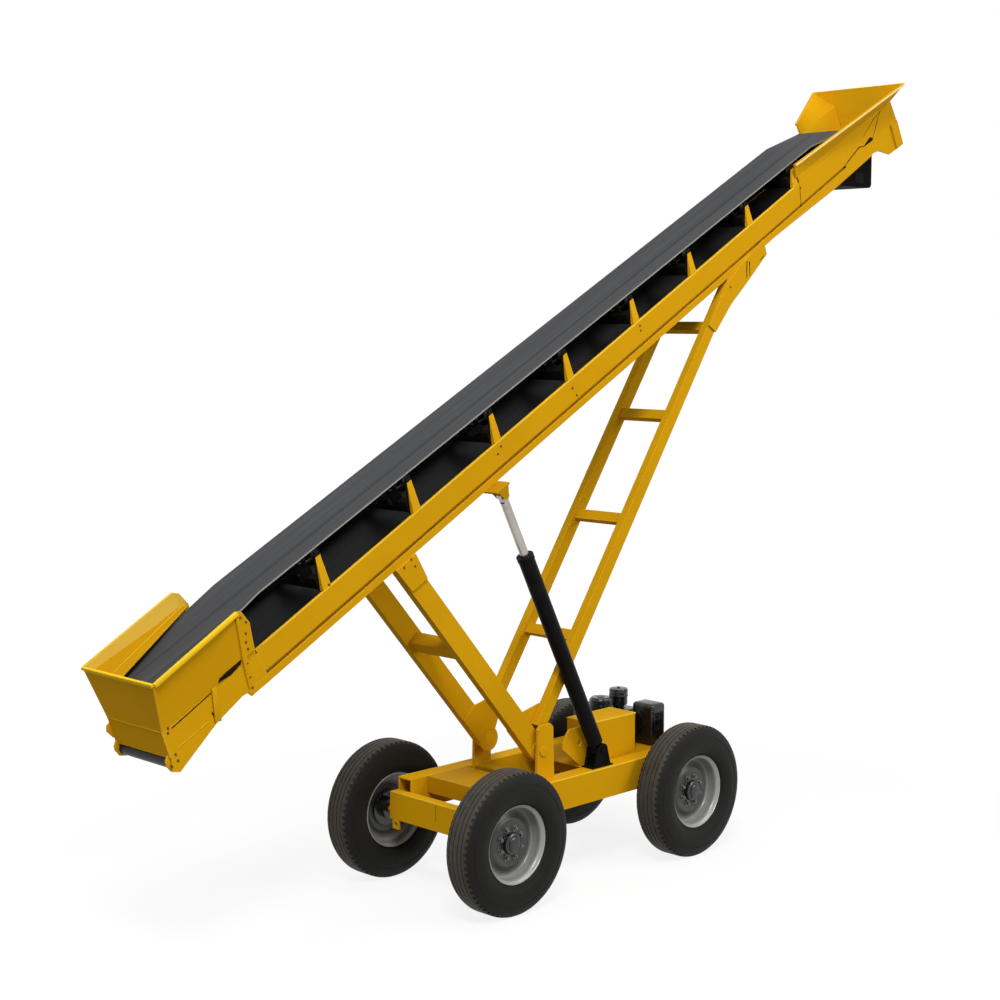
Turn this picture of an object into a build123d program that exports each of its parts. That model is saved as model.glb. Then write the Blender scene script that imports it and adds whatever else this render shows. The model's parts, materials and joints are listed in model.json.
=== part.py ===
from build123d import *
import math
import os

# Truck loading conveyor: a troughed belt boom with a feed hopper at its tail and a hood at its head,
# hinged on a four-wheeled chassis and raised by one hydraulic cylinder.
# Millimetres. +X towards the discharge head, +Z up, right-hand side at -Y, floor at Z = 0.

# Wheels and axles
wheelbase = 1561.0
wheel_gap = 36.5
tyre_diameter = 805.0
tyre_width = 205.0
rim_diameter = 440.0
rim_width = 150.0
rim_wall = 6.0
bead_seat_drop = 17.0
bead_clearance = 2.0
shoulder_drop = 28.0
shoulder_inset = 14.0
tread_inset = 48.0
widest_drop = 12.0
disc_offset = 18.0
disc_thickness = 10.0
dish_depth = 30.0
dish_run = 50.0
hub_radius = 62.0
hub_flange_radius = 105.0
hub_flange_thickness = 14.0
hub_length = 90.0
hub_cap_radius = 44.0
hub_cap_length = 12.0
hub_chamfer = 10.0
stub_radius = 25.0
stub_inset = 30.0
running_clearance = 0.05
seat_gap = 0.3
axle_size = 70.0

# Chassis frame
front_axle_x = -1009.5
rail_width = 110.0
rail_height = 182.0
rail_wall = 8.0
rear_overhang = 150.0
front_beam_depth = 65.0
front_beam_height = 160.0
front_beam_drop = 52.0
cross_member_width = 60.0
cross_member_height = 90.0
deck_thickness = 8.0
deck_columns = ("start", "end", "member_places")
deck_table = (
    (95.0, 400.0, (125.0,)),
    (520.0, 520.0, (520.0,)),
    (wheelbase - 681.0, wheelbase + 79.0, (wheelbase - 551.0, wheelbase - 171.0)),
)
gusset_length = 120.0
gusset_foot = 30.0
gusset_thickness = 20.0
lug_width = 50.0
lug_drop = 55.0
lug_thickness = 16.0
lug_bore_radius = 14.0
lug_inset = 45.0

# Boom pivot
pivot_behind_axle = 520.0
pivot_above_rail = 160.0
pivot_pin_radius = 22.0
pivot_pin_overhang = 8.0
pivot_cap_margin = 6.0
post_gap = 18.0
post_thickness = 20.0
post_front = 48.0
post_rear = 92.0
post_height = 315.0
post_corner = 22.0
post_lean = 8.0

# Boom: lengths run along the boom from the hopper flange, heights from the stringers' underside
boom_angle = 28.28
pivot_along = 1370.0
pivot_below = 1488.0
belt_width = 400.0
stringer_gap = 32.0
stringer_low = 36.0
stringer_tilt = 0.93
stringer_height = 187.0
stringer_flange = 48.0
stringer_rim = 16.0
stringer_wall = 8.0
stringer_trim = 40.0
groove_low = 38.0
groove_high = 60.0
groove_depth = 22.0
boom_member_height = 40.0
boom_member_width = 60.0
boom_member_lift = 12.0
boom_member_places = (300.0, 1033.0, 1772.0, 2900.0, 4150.0, 5000.0)
head_pulley_place = 5800.0
stringer_end = head_pulley_place - 140.0

# Belt
belt_thickness = 9.0
belt_edge_height = 440.0
trough_angle = 30.0
trough_flat = 135.0
trough_start = 180.0
trough_end = head_pulley_place - 380.0
pulley_radius = 85.0
pulley_length = 416.0
pulley_shaft_radius = 22.0
tail_pulley_place = -490.0

# Idlers
idler_places = (530.0, 1243.0, 1938.0, 2619.0, 3278.0, 3887.0, 4540.0, head_pulley_place - 714.0)
roller_radius = 30.0
roller_length = 122.0
roller_shaft_radius = 9.0
wing_roller_place = 60.0
wing_roller_trim = 23.0
idler_bar_width = 40.0
idler_bar_height = 34.0
bracket_width = 56.0
bracket_thickness = 12.0
bracket_taper = 0.55
bracket_lead = 55.0
bracket_below_edge = 15.0
bracket_belt_gap = 5.7
idler_foot_reach = 80.0
idler_foot_height = 64.0
idler_foot_corner = 14.0
idler_foot_overlap = 2.0
roller_post_thickness = 6.0
roller_post_foot = 10.0
roller_post_margin = 8.0
roller_post_rise = 12.0
return_roller_radius = 25.0
return_roller_length = 390.0
return_first = 822.0
return_pitch = 1312.0
return_count = 4

# Feed hopper
hopper_wall = 8.0
hopper_front = -600.0
hopper_lip_height = 472.0
hopper_lip_half = 300.0
hopper_crease_height = 200.0
hopper_crease_place = -640.0
hopper_bottom_place = -662.0
hopper_bottom_height = 65.0
hopper_bottom_points = ((-690.0, 0.0), (-655.0, -28.0), (-367.0, 48.0), (-176.0, 70.0))
hopper_rear_half = 250.0
hopper_rear_height = 470.0
hopper_rim = 8.0
hopper_rim_height = 14.0
skirt_thickness = 8.0
skirt_share = 0.85
skirt_front_y = 70.0
skirt_front_height = 205.0
skirt_rear_y = 196.0
skirt_rear_height = 232.0
flange_width = 60.0
flange_thickness = 8.0
flange_low = 48.0
flange_foot = -215.0
flange_foot_width = 88.0
flange_lean = 110.0
tail_roller_place = -648.0
tail_roller_height = 22.0
tail_roller_radius = 34.0
tail_roller_half = 214.0
tail_bearing_low = 120.0
tail_bearing_high = 335.0
tail_bearing_length = 140.0
tail_bearing_thickness = 12.0

# Discharge hood
hood_columns = ("side", "start", "half", "height")
hood_table = (
    (-1, head_pulley_place - 690.0, 248.0, 442.0),
    (1, head_pulley_place + 70.0, 236.0, 425.0),
)
hood_front = head_pulley_place + 540.0
hood_knee_height = 350.0
hood_lip_height = 467.0
hood_lip_half = 372.0
hood_wall = 10.0
hood_rim = 8.0
hood_rim_height = 12.0
head_plate_start = head_pulley_place - 672.0
head_plate_points = (
    (head_pulley_place + 190.0, 118.0),
    (head_pulley_place + 260.0, 104.0),
    (head_pulley_place + 370.0, 28.0),
    (head_pulley_place + 520.0, 20.0),
    (head_pulley_place + 558.0, 178.0),
)
end_plate_low = 60.0
end_plate_thickness = 8.0
corner_box_back = 80.0
corner_box_low = 30.0
corner_box_high = 205.0
corner_box_thickness = 16.0

# Drive unit under the head
drive_top = 100.0
drive_back = head_pulley_place - 250.0
drive_front = head_pulley_place + 280.0
drive_drop = 255.0
drive_base = 440.0
drive_half_width = 165.0
drive_corner = 30.0
drive_hanger_places = (head_pulley_place - 95.0, head_pulley_place + 130.0)

# Arms and ladder between the boom and the pivot
frame_width = 50.0
arm_depth = 124.0
arm_wall = 8.0
arm_top = 1033.0
arm_tie_place = 870.0
arm_tie_size = 80.0
leg_depth = 76.0
leg_wall = 8.0
ladder_foot = 1245.0
ladder_top = 4060.0
leg_start = 228.0
rung_places = (815.0, 1605.0, 2335.0, 2985.0)
rung_depth = 44.0
rung_width = 64.0
boss_radius = 56.0
boss_length = 62.0
knee_thickness = 8.0
knee_reach = 240.0
knee_leg_reach = 360.0
knee_margin = 18.0
bracket_plate = 12.0
arm_bracket_reach = 80.0
arm_bracket_drop = 110.0
ladder_bracket_points = ((4000.0, 10.0), (4165.0, 85.0), (4300.0, 122.0), (4600.0, 158.0), (4588.0, 62.0),
                         (4340.0, 0.0), (4112.0, -50.0), (3900.0, -130.0), (3860.0, -62.0))

# Hydraulic cylinder
cylinder_y = -290.0
cylinder_base_place = 965.0
cylinder_base_height = 100.0
cylinder_top_place = 1772.0
cylinder_top_drop = 52.0
barrel_radius = 48.0
barrel_length = 1367.0
barrel_bore_start = 200.0
barrel_start = 54.0
neck_depth = 60.0
neck_overlap = 6.0
gland_radius = 51.0
gland_length = 30.0
base_eye_radius = 42.0
base_pin_radius = 20.0
eye_width = 50.0
ear_thickness = 16.0
ear_clearance = 4.0
ear_foot = 140.0
base_plate_length = 180.0
base_pin_overhang = 8.0
rod_radius = 26.0
rod_inside = 650.0
rod_neck = 44.0
rod_neck_half = 18.0
top_eye_radius = 28.0
top_eye_width = 40.0
top_pin_radius = 12.0
top_pin_clearance = 8.0
top_ear_radius = 24.0
top_ear_thickness = 10.0
top_ear_foot = 84.0
top_plate_length = 110.0

# Power pack: places run forward from the rear axle
tank_ahead = 561.0
tank_length = 400.0
tank_near_y = -215.0
tank_width = 210.0
tank_height = 240.0
tank_corner = 14.0
side_plate_length = 255.0
side_plate_height = 232.0
side_plate_thickness = 12.0
side_plate_foot = 105.0
side_plate_round = 60.0
side_plate_bulge = 14.0
side_plate_low = 0.52
side_plate_hole_place = 110.0
side_plate_hole_height = 0.6
side_plate_hole_radius = 18.0
engine_ahead = 251.0
engine_length = 380.0
engine_near_y = 20.0
engine_width = 200.0
engine_height = 190.0
drum_ahead = 111.0
drum_radius = 72.0
drum_height = 95.0
filter_ahead = -59.0
filter_radius = 62.0
filter_height = 130.0
cooler_ahead = 6.0
cooler_length = 130.0
cooler_width = 170.0
cooler_height = 260.0

# Places worked out from the sizes above
axle_z = tyre_diameter / 2
rear_axle_x = front_axle_x + wheelbase
stringer_outer_y = belt_width / 2 + stringer_gap
web_inner_y = stringer_outer_y - stringer_wall
groove_inner_y = web_inner_y - groove_depth
frame_outer_y = stringer_outer_y
frame_inner_y = frame_outer_y - frame_width
frame_y = frame_outer_y - frame_width / 2
rail_inner_y = frame_outer_y + post_gap
rail_outer_y = rail_inner_y + rail_width
track = 2 * (rail_outer_y + wheel_gap) + tyre_width
rail_bottom = axle_z + axle_size / 2
rail_top = rail_bottom + rail_height
rail_front = front_axle_x - axle_size / 2
rail_rear = rear_axle_x + rear_overhang
pivot_x = front_axle_x + pivot_behind_axle
pivot_z = rail_top + pivot_above_rail
boom_turn = math.radians(boom_angle)
boom_x = pivot_x - pivot_along * math.cos(boom_turn) - pivot_below * math.sin(boom_turn)
boom_z = pivot_z - pivot_along * math.sin(boom_turn) + pivot_below * math.cos(boom_turn)
boom_frame = Location((boom_x, 0, boom_z), (0, -boom_angle, 0))
stringer_frame = Location((0, 0, stringer_low), (0, -stringer_tilt, 0))
stringer_turn = math.radians(stringer_tilt)
trough_turn = math.radians(trough_angle)
trough_wing = (belt_width - trough_flat) / 2
belt_edge_y = trough_flat / 2 + trough_wing * math.cos(trough_turn)
belt_top = belt_edge_height - trough_wing * math.sin(trough_turn)
pulley_height = belt_top - belt_thickness - pulley_radius
return_top = pulley_height - pulley_radius
return_low = return_top - belt_thickness
bracket_inner_y = belt_edge_y + bracket_belt_gap
cylinder_base_x = front_axle_x + cylinder_base_place
cylinder_base_z = rail_top + cylinder_base_height
top_pin_vector = boom_frame * stringer_frame * Pos(cylinder_top_place, 0, -cylinder_top_drop)
top_pin_x = top_pin_vector.position.X
top_pin_z = top_pin_vector.position.Z
cylinder_span = math.hypot(top_pin_x - cylinder_base_x, top_pin_z - cylinder_base_z)
cylinder_tilt = math.degrees(math.atan2(top_pin_x - cylinder_base_x, top_pin_z - cylinder_base_z))
cylinder_frame = Location((cylinder_base_x, cylinder_y, cylinder_base_z), (0, cylinder_tilt, 0))


def outline(*points):
    return make_face(Polyline(*points, close=True))


def plate(sketch, y_low, y_high):
    return Pos(0, y_high, 0) * extrude(Plane.XZ * sketch, amount=y_high - y_low)


def along(sketch, start, end):
    return Pos(start, 0, 0) * extrude(Plane.YZ * sketch, amount=end - start)


def block(x_low, x_high, y_low, y_high, z_low, z_high):
    size = Box(x_high - x_low, y_high - y_low, z_high - z_low)
    return Pos((x_low + x_high) / 2, (y_low + y_high) / 2, (z_low + z_high) / 2) * size


def both_sides(solid):
    return [solid, mirror(solid, about=Plane.XZ)]


def side_of(solid, side):
    return solid if side > 0 else mirror(solid, about=Plane.XZ)


def underside(place):
    return stringer_low + place * math.tan(stringer_turn)


def upside(place):
    return underside(place) + stringer_height / math.cos(stringer_turn)


# Wheels
def tyre_shape():
    bead = rim_diameter / 2 - bead_seat_drop
    lip = rim_diameter / 2 + bead_clearance
    tread = tyre_diameter / 2
    half = tyre_width / 2
    bead_half = rim_width / 2 - rim_wall - 1
    shoulder = tread - shoulder_drop
    shoulder_half = half - shoulder_inset
    tread_half = half - tread_inset
    widest = (bead + tread) / 2 - widest_drop
    profile = make_face([
        Polyline((lip, -bead_half), (bead, -bead_half), (bead, bead_half), (lip, bead_half)),
        ThreePointArc((lip, bead_half), (widest, half), (shoulder, shoulder_half)),
        TangentArc((tread, tread_half), (shoulder, shoulder_half), tangent=(0, 1)),
        Line((tread, tread_half), (tread, -tread_half)),
        TangentArc((tread, -tread_half), (shoulder, -shoulder_half), tangent=(0, -1)),
        ThreePointArc((shoulder, -shoulder_half), (widest, -half), (lip, -bead_half)),
    ])
    return revolve(profile, axis=Axis.Y)


def wheel_shape():
    return rim_shape() + hub_shape()


def rim_shape():
    seat = rim_diameter / 2 - bead_seat_drop - seat_gap
    well = seat - rim_wall
    flange = rim_diameter / 2
    half = rim_width / 2
    lip = half - rim_wall
    disc_in = disc_offset - disc_thickness
    profile = outline(
        (hub_radius, disc_in), (well - dish_run, disc_in), (well, disc_in - dish_depth), (well, -half),
        (flange, -half), (flange, -lip), (seat, -lip), (seat, lip), (flange, lip), (flange, half),
        (well, half),
        (well, disc_offset - dish_depth + rim_wall), (well - dish_run + rim_wall, disc_offset),
        (hub_radius, disc_offset),
    )
    return revolve(profile, axis=Axis.Y)


def hub_shape():
    bore = stub_radius + running_clearance
    inner = disc_offset - disc_thickness - hub_length / 2
    outer = inner + hub_length
    cap = outer + hub_cap_length
    flange_face = disc_offset - disc_thickness
    flange_back = flange_face - hub_flange_thickness
    profile = outline(
        (0, outer), (0, cap), (hub_cap_radius - hub_chamfer, cap), (hub_cap_radius, cap - hub_chamfer),
        (hub_cap_radius, outer), (hub_radius, outer - hub_chamfer), (hub_radius, flange_face),
        (hub_flange_radius, flange_face), (hub_flange_radius, flange_back), (hub_radius, flange_back),
        (hub_radius, inner), (bore, inner), (bore, outer),
    )
    return revolve(profile, axis=Axis.Y)


def wheel_places():
    places = {}
    for end, x in (("front", front_axle_x), ("rear", rear_axle_x)):
        for side, sign in (("left", 1), ("right", -1)):
            places[end + "_" + side] = (x, sign)
    return places


def wheels():
    nodes = {}
    shapes = {"tyre": tyre_shape(), "wheel": wheel_shape()}
    for name, (x, sign) in wheel_places().items():
        for piece, shape in shapes.items():
            nodes[piece + "_" + name] = Pos(x, sign * track / 2, axle_z) * side_of(shape, sign)
    return nodes


# Chassis
def axle(x, way):
    low = axle_z - axle_size / 2
    bar = block(x - axle_size / 2, x + axle_size / 2, -rail_outer_y, rail_outer_y, low, rail_bottom)
    hub_outer = track / 2 + disc_offset - disc_thickness + hub_length / 2
    reach = hub_outer - stub_inset
    bar += plate(Pos(x, axle_z) * Circle(stub_radius), -reach, reach)
    face = x + way * axle_size / 2
    middle_y = rail_outer_y - rail_width / 2
    shape = outline((face, rail_bottom), (face, low), (face + way * gusset_foot, low),
                    (face + way * gusset_length, rail_bottom))
    for gusset in both_sides(plate(shape, middle_y - gusset_thickness / 2, middle_y + gusset_thickness / 2)):
        bar += gusset
    return bar


def rail():
    section = Pos(rail_inner_y + rail_width / 2, rail_bottom + rail_height / 2) * (
        Rectangle(rail_width, rail_height)
        - Rectangle(rail_width - 2 * rail_wall, rail_height - 2 * rail_wall))
    return along(section, rail_front, rail_rear)


def front_beam():
    low = rail_bottom - front_beam_drop
    outer = Rectangle(front_beam_depth, front_beam_height)
    inner = Rectangle(front_beam_depth - 2 * rail_wall, front_beam_height - 2 * rail_wall)
    section = Pos(rail_front - front_beam_depth / 2, low + front_beam_height / 2) * (outer - inner)
    beam = plate(section, -rail_outer_y, rail_outer_y)
    for lug in both_sides(tie_down_lug()):
        beam += lug
    return beam


def tie_down_lug():
    y = rail_outer_y - lug_inset
    middle = rail_bottom - front_beam_drop - lug_drop / 2
    shape = Pos(y, middle) * (Rectangle(lug_width, lug_drop) - Circle(lug_bore_radius))
    front = rail_front - front_beam_depth
    return along(shape, front, front + lug_thickness)


def rear_beam():
    outer = Rectangle(cross_member_width, rail_height)
    inner = Rectangle(cross_member_width - 2 * rail_wall, rail_height - 2 * rail_wall)
    section = Pos(rail_rear - cross_member_width / 2, rail_bottom + rail_height / 2) * (outer - inner)
    return plate(section, -rail_inner_y, rail_inner_y)


def deck():
    top = rail_top - deck_thickness
    half = cross_member_width / 2
    pieces = []
    for start, end, members in deck_table:
        piece = None
        if end > start:
            piece = block(front_axle_x + start, front_axle_x + end, -rail_inner_y, rail_inner_y,
                          top, rail_top)
        for place in members:
            x = front_axle_x + place
            member = block(x - half, x + half, -rail_inner_y, rail_inner_y, top - cross_member_height, top)
            piece = member if piece is None else piece + member
        pieces.append(piece)
    return pieces


def pivot_post():
    left, right = pivot_x - post_front, pivot_x + post_rear
    top = rail_top + post_height
    shape = outline((left, rail_top), (right, rail_top), (right - post_lean, top - post_corner),
                    (right - post_lean - post_corner, top), (left + post_lean + post_corner, top),
                    (left + post_lean, top - post_corner))
    shape -= Pos(pivot_x, pivot_z) * Circle(pivot_pin_radius + seat_gap)
    return plate(shape, rail_inner_y, rail_inner_y + post_thickness)


def pivot_pin():
    spot = Pos(pivot_x, pivot_z)
    face = rail_inner_y + post_thickness
    pin = plate(spot * Circle(pivot_pin_radius), frame_y - boss_length / 2, face + pivot_pin_overhang)
    return pin + plate(spot * Circle(pivot_pin_radius + pivot_cap_margin), face, face + pivot_pin_overhang)


def cylinder_bracket():
    x, z = cylinder_base_x, cylinder_base_z
    inner_face = cylinder_y + eye_width / 2 + ear_clearance
    outer_face = cylinder_y - eye_width / 2 - ear_clearance
    inner_end = inner_face + ear_thickness
    outer_end = outer_face - ear_thickness
    ear = outline((x - ear_foot / 2, rail_top), (x + ear_foot / 2, rail_top),
                  (x + base_eye_radius, z), (x - base_eye_radius, z))
    ear += Pos(x, z) * Circle(base_eye_radius)
    base = block(x - base_plate_length / 2, x + base_plate_length / 2, outer_end, inner_end,
                 rail_top, rail_top + deck_thickness)
    pin = plate(Pos(x, z) * Circle(base_pin_radius),
                outer_end - base_pin_overhang, inner_end + base_pin_overhang)
    return base + plate(ear, inner_face, inner_end) + plate(ear, outer_end, outer_face) + pin


# Power pack
def tank():
    x = rear_axle_x - tank_ahead
    body = block(x, x + tank_length, tank_near_y, tank_near_y + tank_width, rail_top, rail_top + tank_height)
    return fillet(body.edges().filter_by(Axis.Z), tank_corner)


def tank_side_plate():
    x = rear_axle_x - tank_ahead
    top = rail_top + side_plate_height
    left = x - side_plate_length
    low = rail_top + side_plate_height * side_plate_low
    foot = x - side_plate_foot
    shape = make_face([
        Polyline((left, low), (foot, rail_top), (x, rail_top), (x, top), (left + side_plate_round, top)),
        ThreePointArc((left + side_plate_round, top), (left + side_plate_bulge, top - side_plate_round),
                      (left, low)),
    ])
    hole_height = rail_top + side_plate_height * side_plate_hole_height
    shape -= Pos(x - side_plate_hole_place, hole_height) * Circle(side_plate_hole_radius)
    return plate(shape, tank_near_y, tank_near_y + side_plate_thickness)


def engine_block():
    x = rear_axle_x - engine_ahead
    return block(x, x + engine_length, engine_near_y, engine_near_y + engine_width,
                 rail_top, rail_top + engine_height)


def engine_drum():
    x = rear_axle_x - drum_ahead
    y = engine_near_y + engine_width / 2
    return Pos(x, y, rail_top + engine_height + drum_height / 2) * Cylinder(drum_radius, drum_height)


def air_filter():
    x = rear_axle_x - filter_ahead
    y = engine_near_y + engine_width / 2
    return Pos(x, y, rail_top + engine_height + filter_height / 2) * Cylinder(filter_radius, filter_height)


def oil_cooler():
    x = rear_axle_x - cooler_ahead
    return block(x, x + cooler_length, tank_near_y, tank_near_y + cooler_width,
                 rail_top, rail_top + cooler_height)


# Boom
def stringer():
    outer, inner, groove = stringer_outer_y, web_inner_y, stringer_outer_y - groove_depth
    lip, rim = outer - stringer_flange, outer - stringer_rim
    top, wall = stringer_height, stringer_wall
    section = outline(
        (lip, 0), (outer, 0), (outer, groove_low), (groove, groove_low), (groove, groove_high),
        (outer, groove_high), (outer, top), (rim, top), (rim, top - wall), (inner, top - wall),
        (inner, groove_high + wall), (groove_inner_y, groove_high + wall), (groove_inner_y, wall),
        (lip, wall))
    bar = stringer_frame * along(section, -stringer_trim, stringer_end + stringer_trim)
    return bar & block(0, stringer_end, 0, 2 * outer, -stringer_end, stringer_end)


def boom_members():
    half = boom_member_width / 2
    top = boom_member_lift + boom_member_height
    members = []
    for place in boom_member_places:
        member = block(place - half, place + half, -groove_inner_y, groove_inner_y, boom_member_lift, top)
        members.append(stringer_frame * member)
    return members


def trough_section():
    flat = trough_flat / 2
    low = belt_top - belt_thickness
    return outline((-belt_edge_y, belt_edge_height), (-flat, belt_top), (flat, belt_top),
                   (belt_edge_y, belt_edge_height), (belt_edge_y, belt_edge_height - belt_thickness),
                   (flat, low), (-flat, low), (-belt_edge_y, belt_edge_height - belt_thickness))


def flat_section():
    flat = trough_flat / 2
    low = belt_top - belt_thickness
    half = belt_width / 2
    return outline((-half, belt_top), (-flat, belt_top), (flat, belt_top), (half, belt_top),
                   (half, low), (flat, low), (-flat, low), (-half, low))


def belt_wrap(place, way):
    ring = Circle(pulley_radius + belt_thickness) - Circle(pulley_radius)
    half = Pos(way * pulley_radius, 0) * Rectangle(2 * pulley_radius, 4 * pulley_radius)
    return plate(Pos(place, pulley_height) * (ring & half), -belt_width / 2, belt_width / 2)


def belt():
    loop = along(trough_section(), trough_start, trough_end)
    for trough_place, pulley_place in ((trough_start, tail_pulley_place), (trough_end, head_pulley_place)):
        from_face = Plane(origin=(trough_place, 0, 0), x_dir=(0, 1, 0), z_dir=(1, 0, 0)) * trough_section()
        to_face = Plane(origin=(pulley_place, 0, 0), x_dir=(0, 1, 0), z_dir=(1, 0, 0)) * flat_section()
        loop += loft([from_face, to_face], ruled=True)
    half = belt_width / 2
    loop += block(tail_pulley_place, head_pulley_place, -half, half, return_low, return_top)
    return loop + belt_wrap(tail_pulley_place, -1) + belt_wrap(head_pulley_place, 1)


def pulley(place, reach):
    spot = Pos(place, pulley_height)
    drum = plate(spot * Circle(pulley_radius - seat_gap), -pulley_length / 2, pulley_length / 2)
    return drum + plate(spot * Circle(pulley_shaft_radius), -reach, reach)


def centre_roller_height():
    return belt_top - belt_thickness - seat_gap - roller_radius


def idler_bracket(place):
    wide = stringer_outer_y - bracket_inner_y
    high = belt_edge_height - bracket_below_edge - underside(place)
    foot = Pos(place, bracket_inner_y + wide / 2, stringer_height) * Rectangle(bracket_width, wide)
    head = Pos(place + bracket_lead, bracket_inner_y + bracket_thickness / 2, high) * Rectangle(
        bracket_width * bracket_taper, bracket_thickness)
    return stringer_frame * (loft([foot, head], ruled=True) + idler_foot(place))


def idler_foot(place):
    inner, outer = bracket_inner_y - idler_foot_reach, bracket_inner_y + idler_foot_overlap
    low, high = stringer_height, stringer_height + idler_foot_height
    shape = outline((inner, low), (outer, low), (outer, high), (inner + idler_foot_corner, high),
                    (inner, high - idler_foot_corner))
    return along(shape, place - idler_bar_width / 2, place + idler_bar_width / 2)


def idler_brackets():
    brackets = []
    for place in idler_places:
        brackets += both_sides(idler_bracket(place))
    return brackets


def idler_bars():
    bars = []
    for place in idler_places:
        half, reach = idler_bar_width / 2, bracket_inner_y - idler_foot_reach
        bar = block(place - half, place + half, -reach, reach,
                    stringer_height, stringer_height + idler_bar_height)
        post_y = roller_length / 2 + seat_gap
        high = centre_roller_height() - underside(place) + roller_post_rise
        post = block(place - roller_post_foot, place + bracket_lead + roller_post_margin,
                     post_y, post_y + roller_post_thickness, stringer_height + roller_post_foot, high)
        for piece in both_sides(post):
            bar += piece
        bars.append(stringer_frame * bar)
    return bars


def wing_roller(place):
    sine, cosine = math.sin(trough_turn), math.cos(trough_turn)
    offset = roller_radius + seat_gap
    middle_y = trough_flat / 2 + wing_roller_place * cosine + offset * sine
    middle = belt_top - belt_thickness + wing_roller_place * sine - offset * cosine
    reach = (bracket_inner_y - seat_gap - middle_y - roller_shaft_radius * sine) / cosine
    half = roller_length / 2 - wing_roller_trim
    roller = plate(Circle(roller_radius), -half, half) + plate(Circle(roller_shaft_radius), 0, reach)
    return Pos(place + bracket_lead, middle_y, middle) * Rot(X=trough_angle) * roller


def idler_rollers():
    rollers = []
    for place in idler_places:
        centre = Pos(place + bracket_lead, centre_roller_height()) * Circle(roller_radius)
        rollers.append(plate(centre, -roller_length / 2, roller_length / 2))
        rollers += both_sides(wing_roller(place))
    return rollers


def return_rollers():
    height = return_low - seat_gap - return_roller_radius
    rollers = []
    for step in range(return_count):
        place = return_first + step * return_pitch
        half = return_roller_length / 2
        roller = plate(Pos(place, height) * Circle(return_roller_radius), -half, half)
        shaft_low = height - underside(place) - roller_shaft_radius
        reach = web_inner_y if shaft_low > groove_high + stringer_wall else groove_inner_y
        rollers.append(roller + plate(Pos(place, height) * Circle(roller_shaft_radius), -reach, reach))
    return rollers


# Feed hopper
def hopper_lean():
    rise = hopper_lip_height - hopper_crease_height
    run = hopper_front - hopper_crease_place
    return math.atan2(run, rise), math.hypot(rise, run)


def cross_plane(place):
    return Plane(origin=(place, 0, 0), x_dir=(0, 1, 0), z_dir=(1, 0, 0))


def hopper_front_plane():
    lean, length = hopper_lean()
    return Plane(origin=(hopper_crease_place, 0, hopper_crease_height), x_dir=(0, 1, 0),
                 z_dir=(math.cos(lean), 0, -math.sin(lean)))


def hopper_panel():
    shape = outline((hopper_crease_place, hopper_crease_height), (hopper_bottom_place, hopper_bottom_height),
                    *hopper_bottom_points, (0, stringer_low), (0, hopper_crease_height))
    return plate(shape, web_inner_y, stringer_outer_y)


def flared_section(foot, top, top_half, wall, rim, rim_height):
    foot_half = stringer_outer_y
    rim_half = top_half - (top_half - foot_half) * rim_height / (top - foot)
    rim_foot = top - rim_height
    return outline((foot_half - wall, foot), (foot_half, foot), (rim_half, rim_foot),
                   (rim_half + rim, rim_foot), (top_half + rim, top), (top_half - wall, top))


def hopper_section(foot, top, top_half):
    return flared_section(foot, top, top_half, hopper_wall, hopper_rim, hopper_rim_height)


def hopper_wall_shape():
    lean, length = hopper_lean()
    front = hopper_section(0, length, hopper_lip_half)
    rear = hopper_section(hopper_crease_height, hopper_rear_height, hopper_rear_half)
    wall = loft([hopper_front_plane() * front, cross_plane(0) * rear], ruled=True)
    flange = along(rear, 0, flange_width)
    flange -= block(0, flange_width, 0, 2 * stringer_outer_y, 0, upside(flange_width))
    return wall + flange


def hopper_skirt():
    lean, length = hopper_lean()
    rise = hopper_rear_height - hopper_crease_height
    sections = []
    for plane, low, high, lip_half, inner_y, inner_height in (
            (hopper_front_plane(), 0, length, hopper_lip_half, skirt_front_y, skirt_front_height),
            (cross_plane(0), hopper_crease_height, rise, hopper_rear_half, skirt_rear_y, skirt_rear_height)):
        corners = [(inner_y, low + inner_height)]
        for share in (skirt_share, skirt_share + skirt_thickness / high):
            wall_y = stringer_outer_y + share * (lip_half - stringer_outer_y) - hopper_wall
            corners.append((wall_y, low + share * high))
        corners.append((inner_y, low + inner_height + skirt_thickness))
        sections.append(plane * outline(*corners))
    return loft(sections, ruled=True)


def hopper_front_plate():
    lean, length = hopper_lean()
    upper = outline((-stringer_outer_y, 0), (stringer_outer_y, 0),
                    (hopper_lip_half, length), (-hopper_lip_half, length))
    lower = outline((hopper_crease_place, hopper_crease_height), (hopper_bottom_place, hopper_bottom_height),
                    (hopper_bottom_place - hopper_wall, hopper_bottom_height),
                    (hopper_crease_place - hopper_wall * math.cos(lean),
                     hopper_crease_height + hopper_wall * math.sin(lean)))
    rim = Pos(0, length - hopper_rim_height / 2) * Rectangle(2 * hopper_lip_half, hopper_rim_height)
    return (extrude(hopper_front_plane() * upper, amount=-hopper_wall)
            + extrude(hopper_front_plane() * rim, amount=-hopper_wall - hopper_rim)
            + plate(lower, -stringer_outer_y, stringer_outer_y))


def hopper_flange():
    shape = outline((flange_foot, flange_low), (flange_foot + flange_foot_width, flange_low),
                    (flange_foot + flange_foot_width + flange_lean, hopper_crease_height),
                    (flange_foot + flange_lean, hopper_crease_height))
    return plate(shape, stringer_outer_y, stringer_outer_y + flange_thickness)


def tail_bearing():
    shape = Pos(tail_pulley_place, (tail_bearing_low + tail_bearing_high) / 2) * Rectangle(
        tail_bearing_length, tail_bearing_high - tail_bearing_low)
    shape -= Pos(tail_pulley_place, pulley_height) * Circle(pulley_shaft_radius + seat_gap)
    return plate(shape, web_inner_y - tail_bearing_thickness, web_inner_y)


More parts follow.
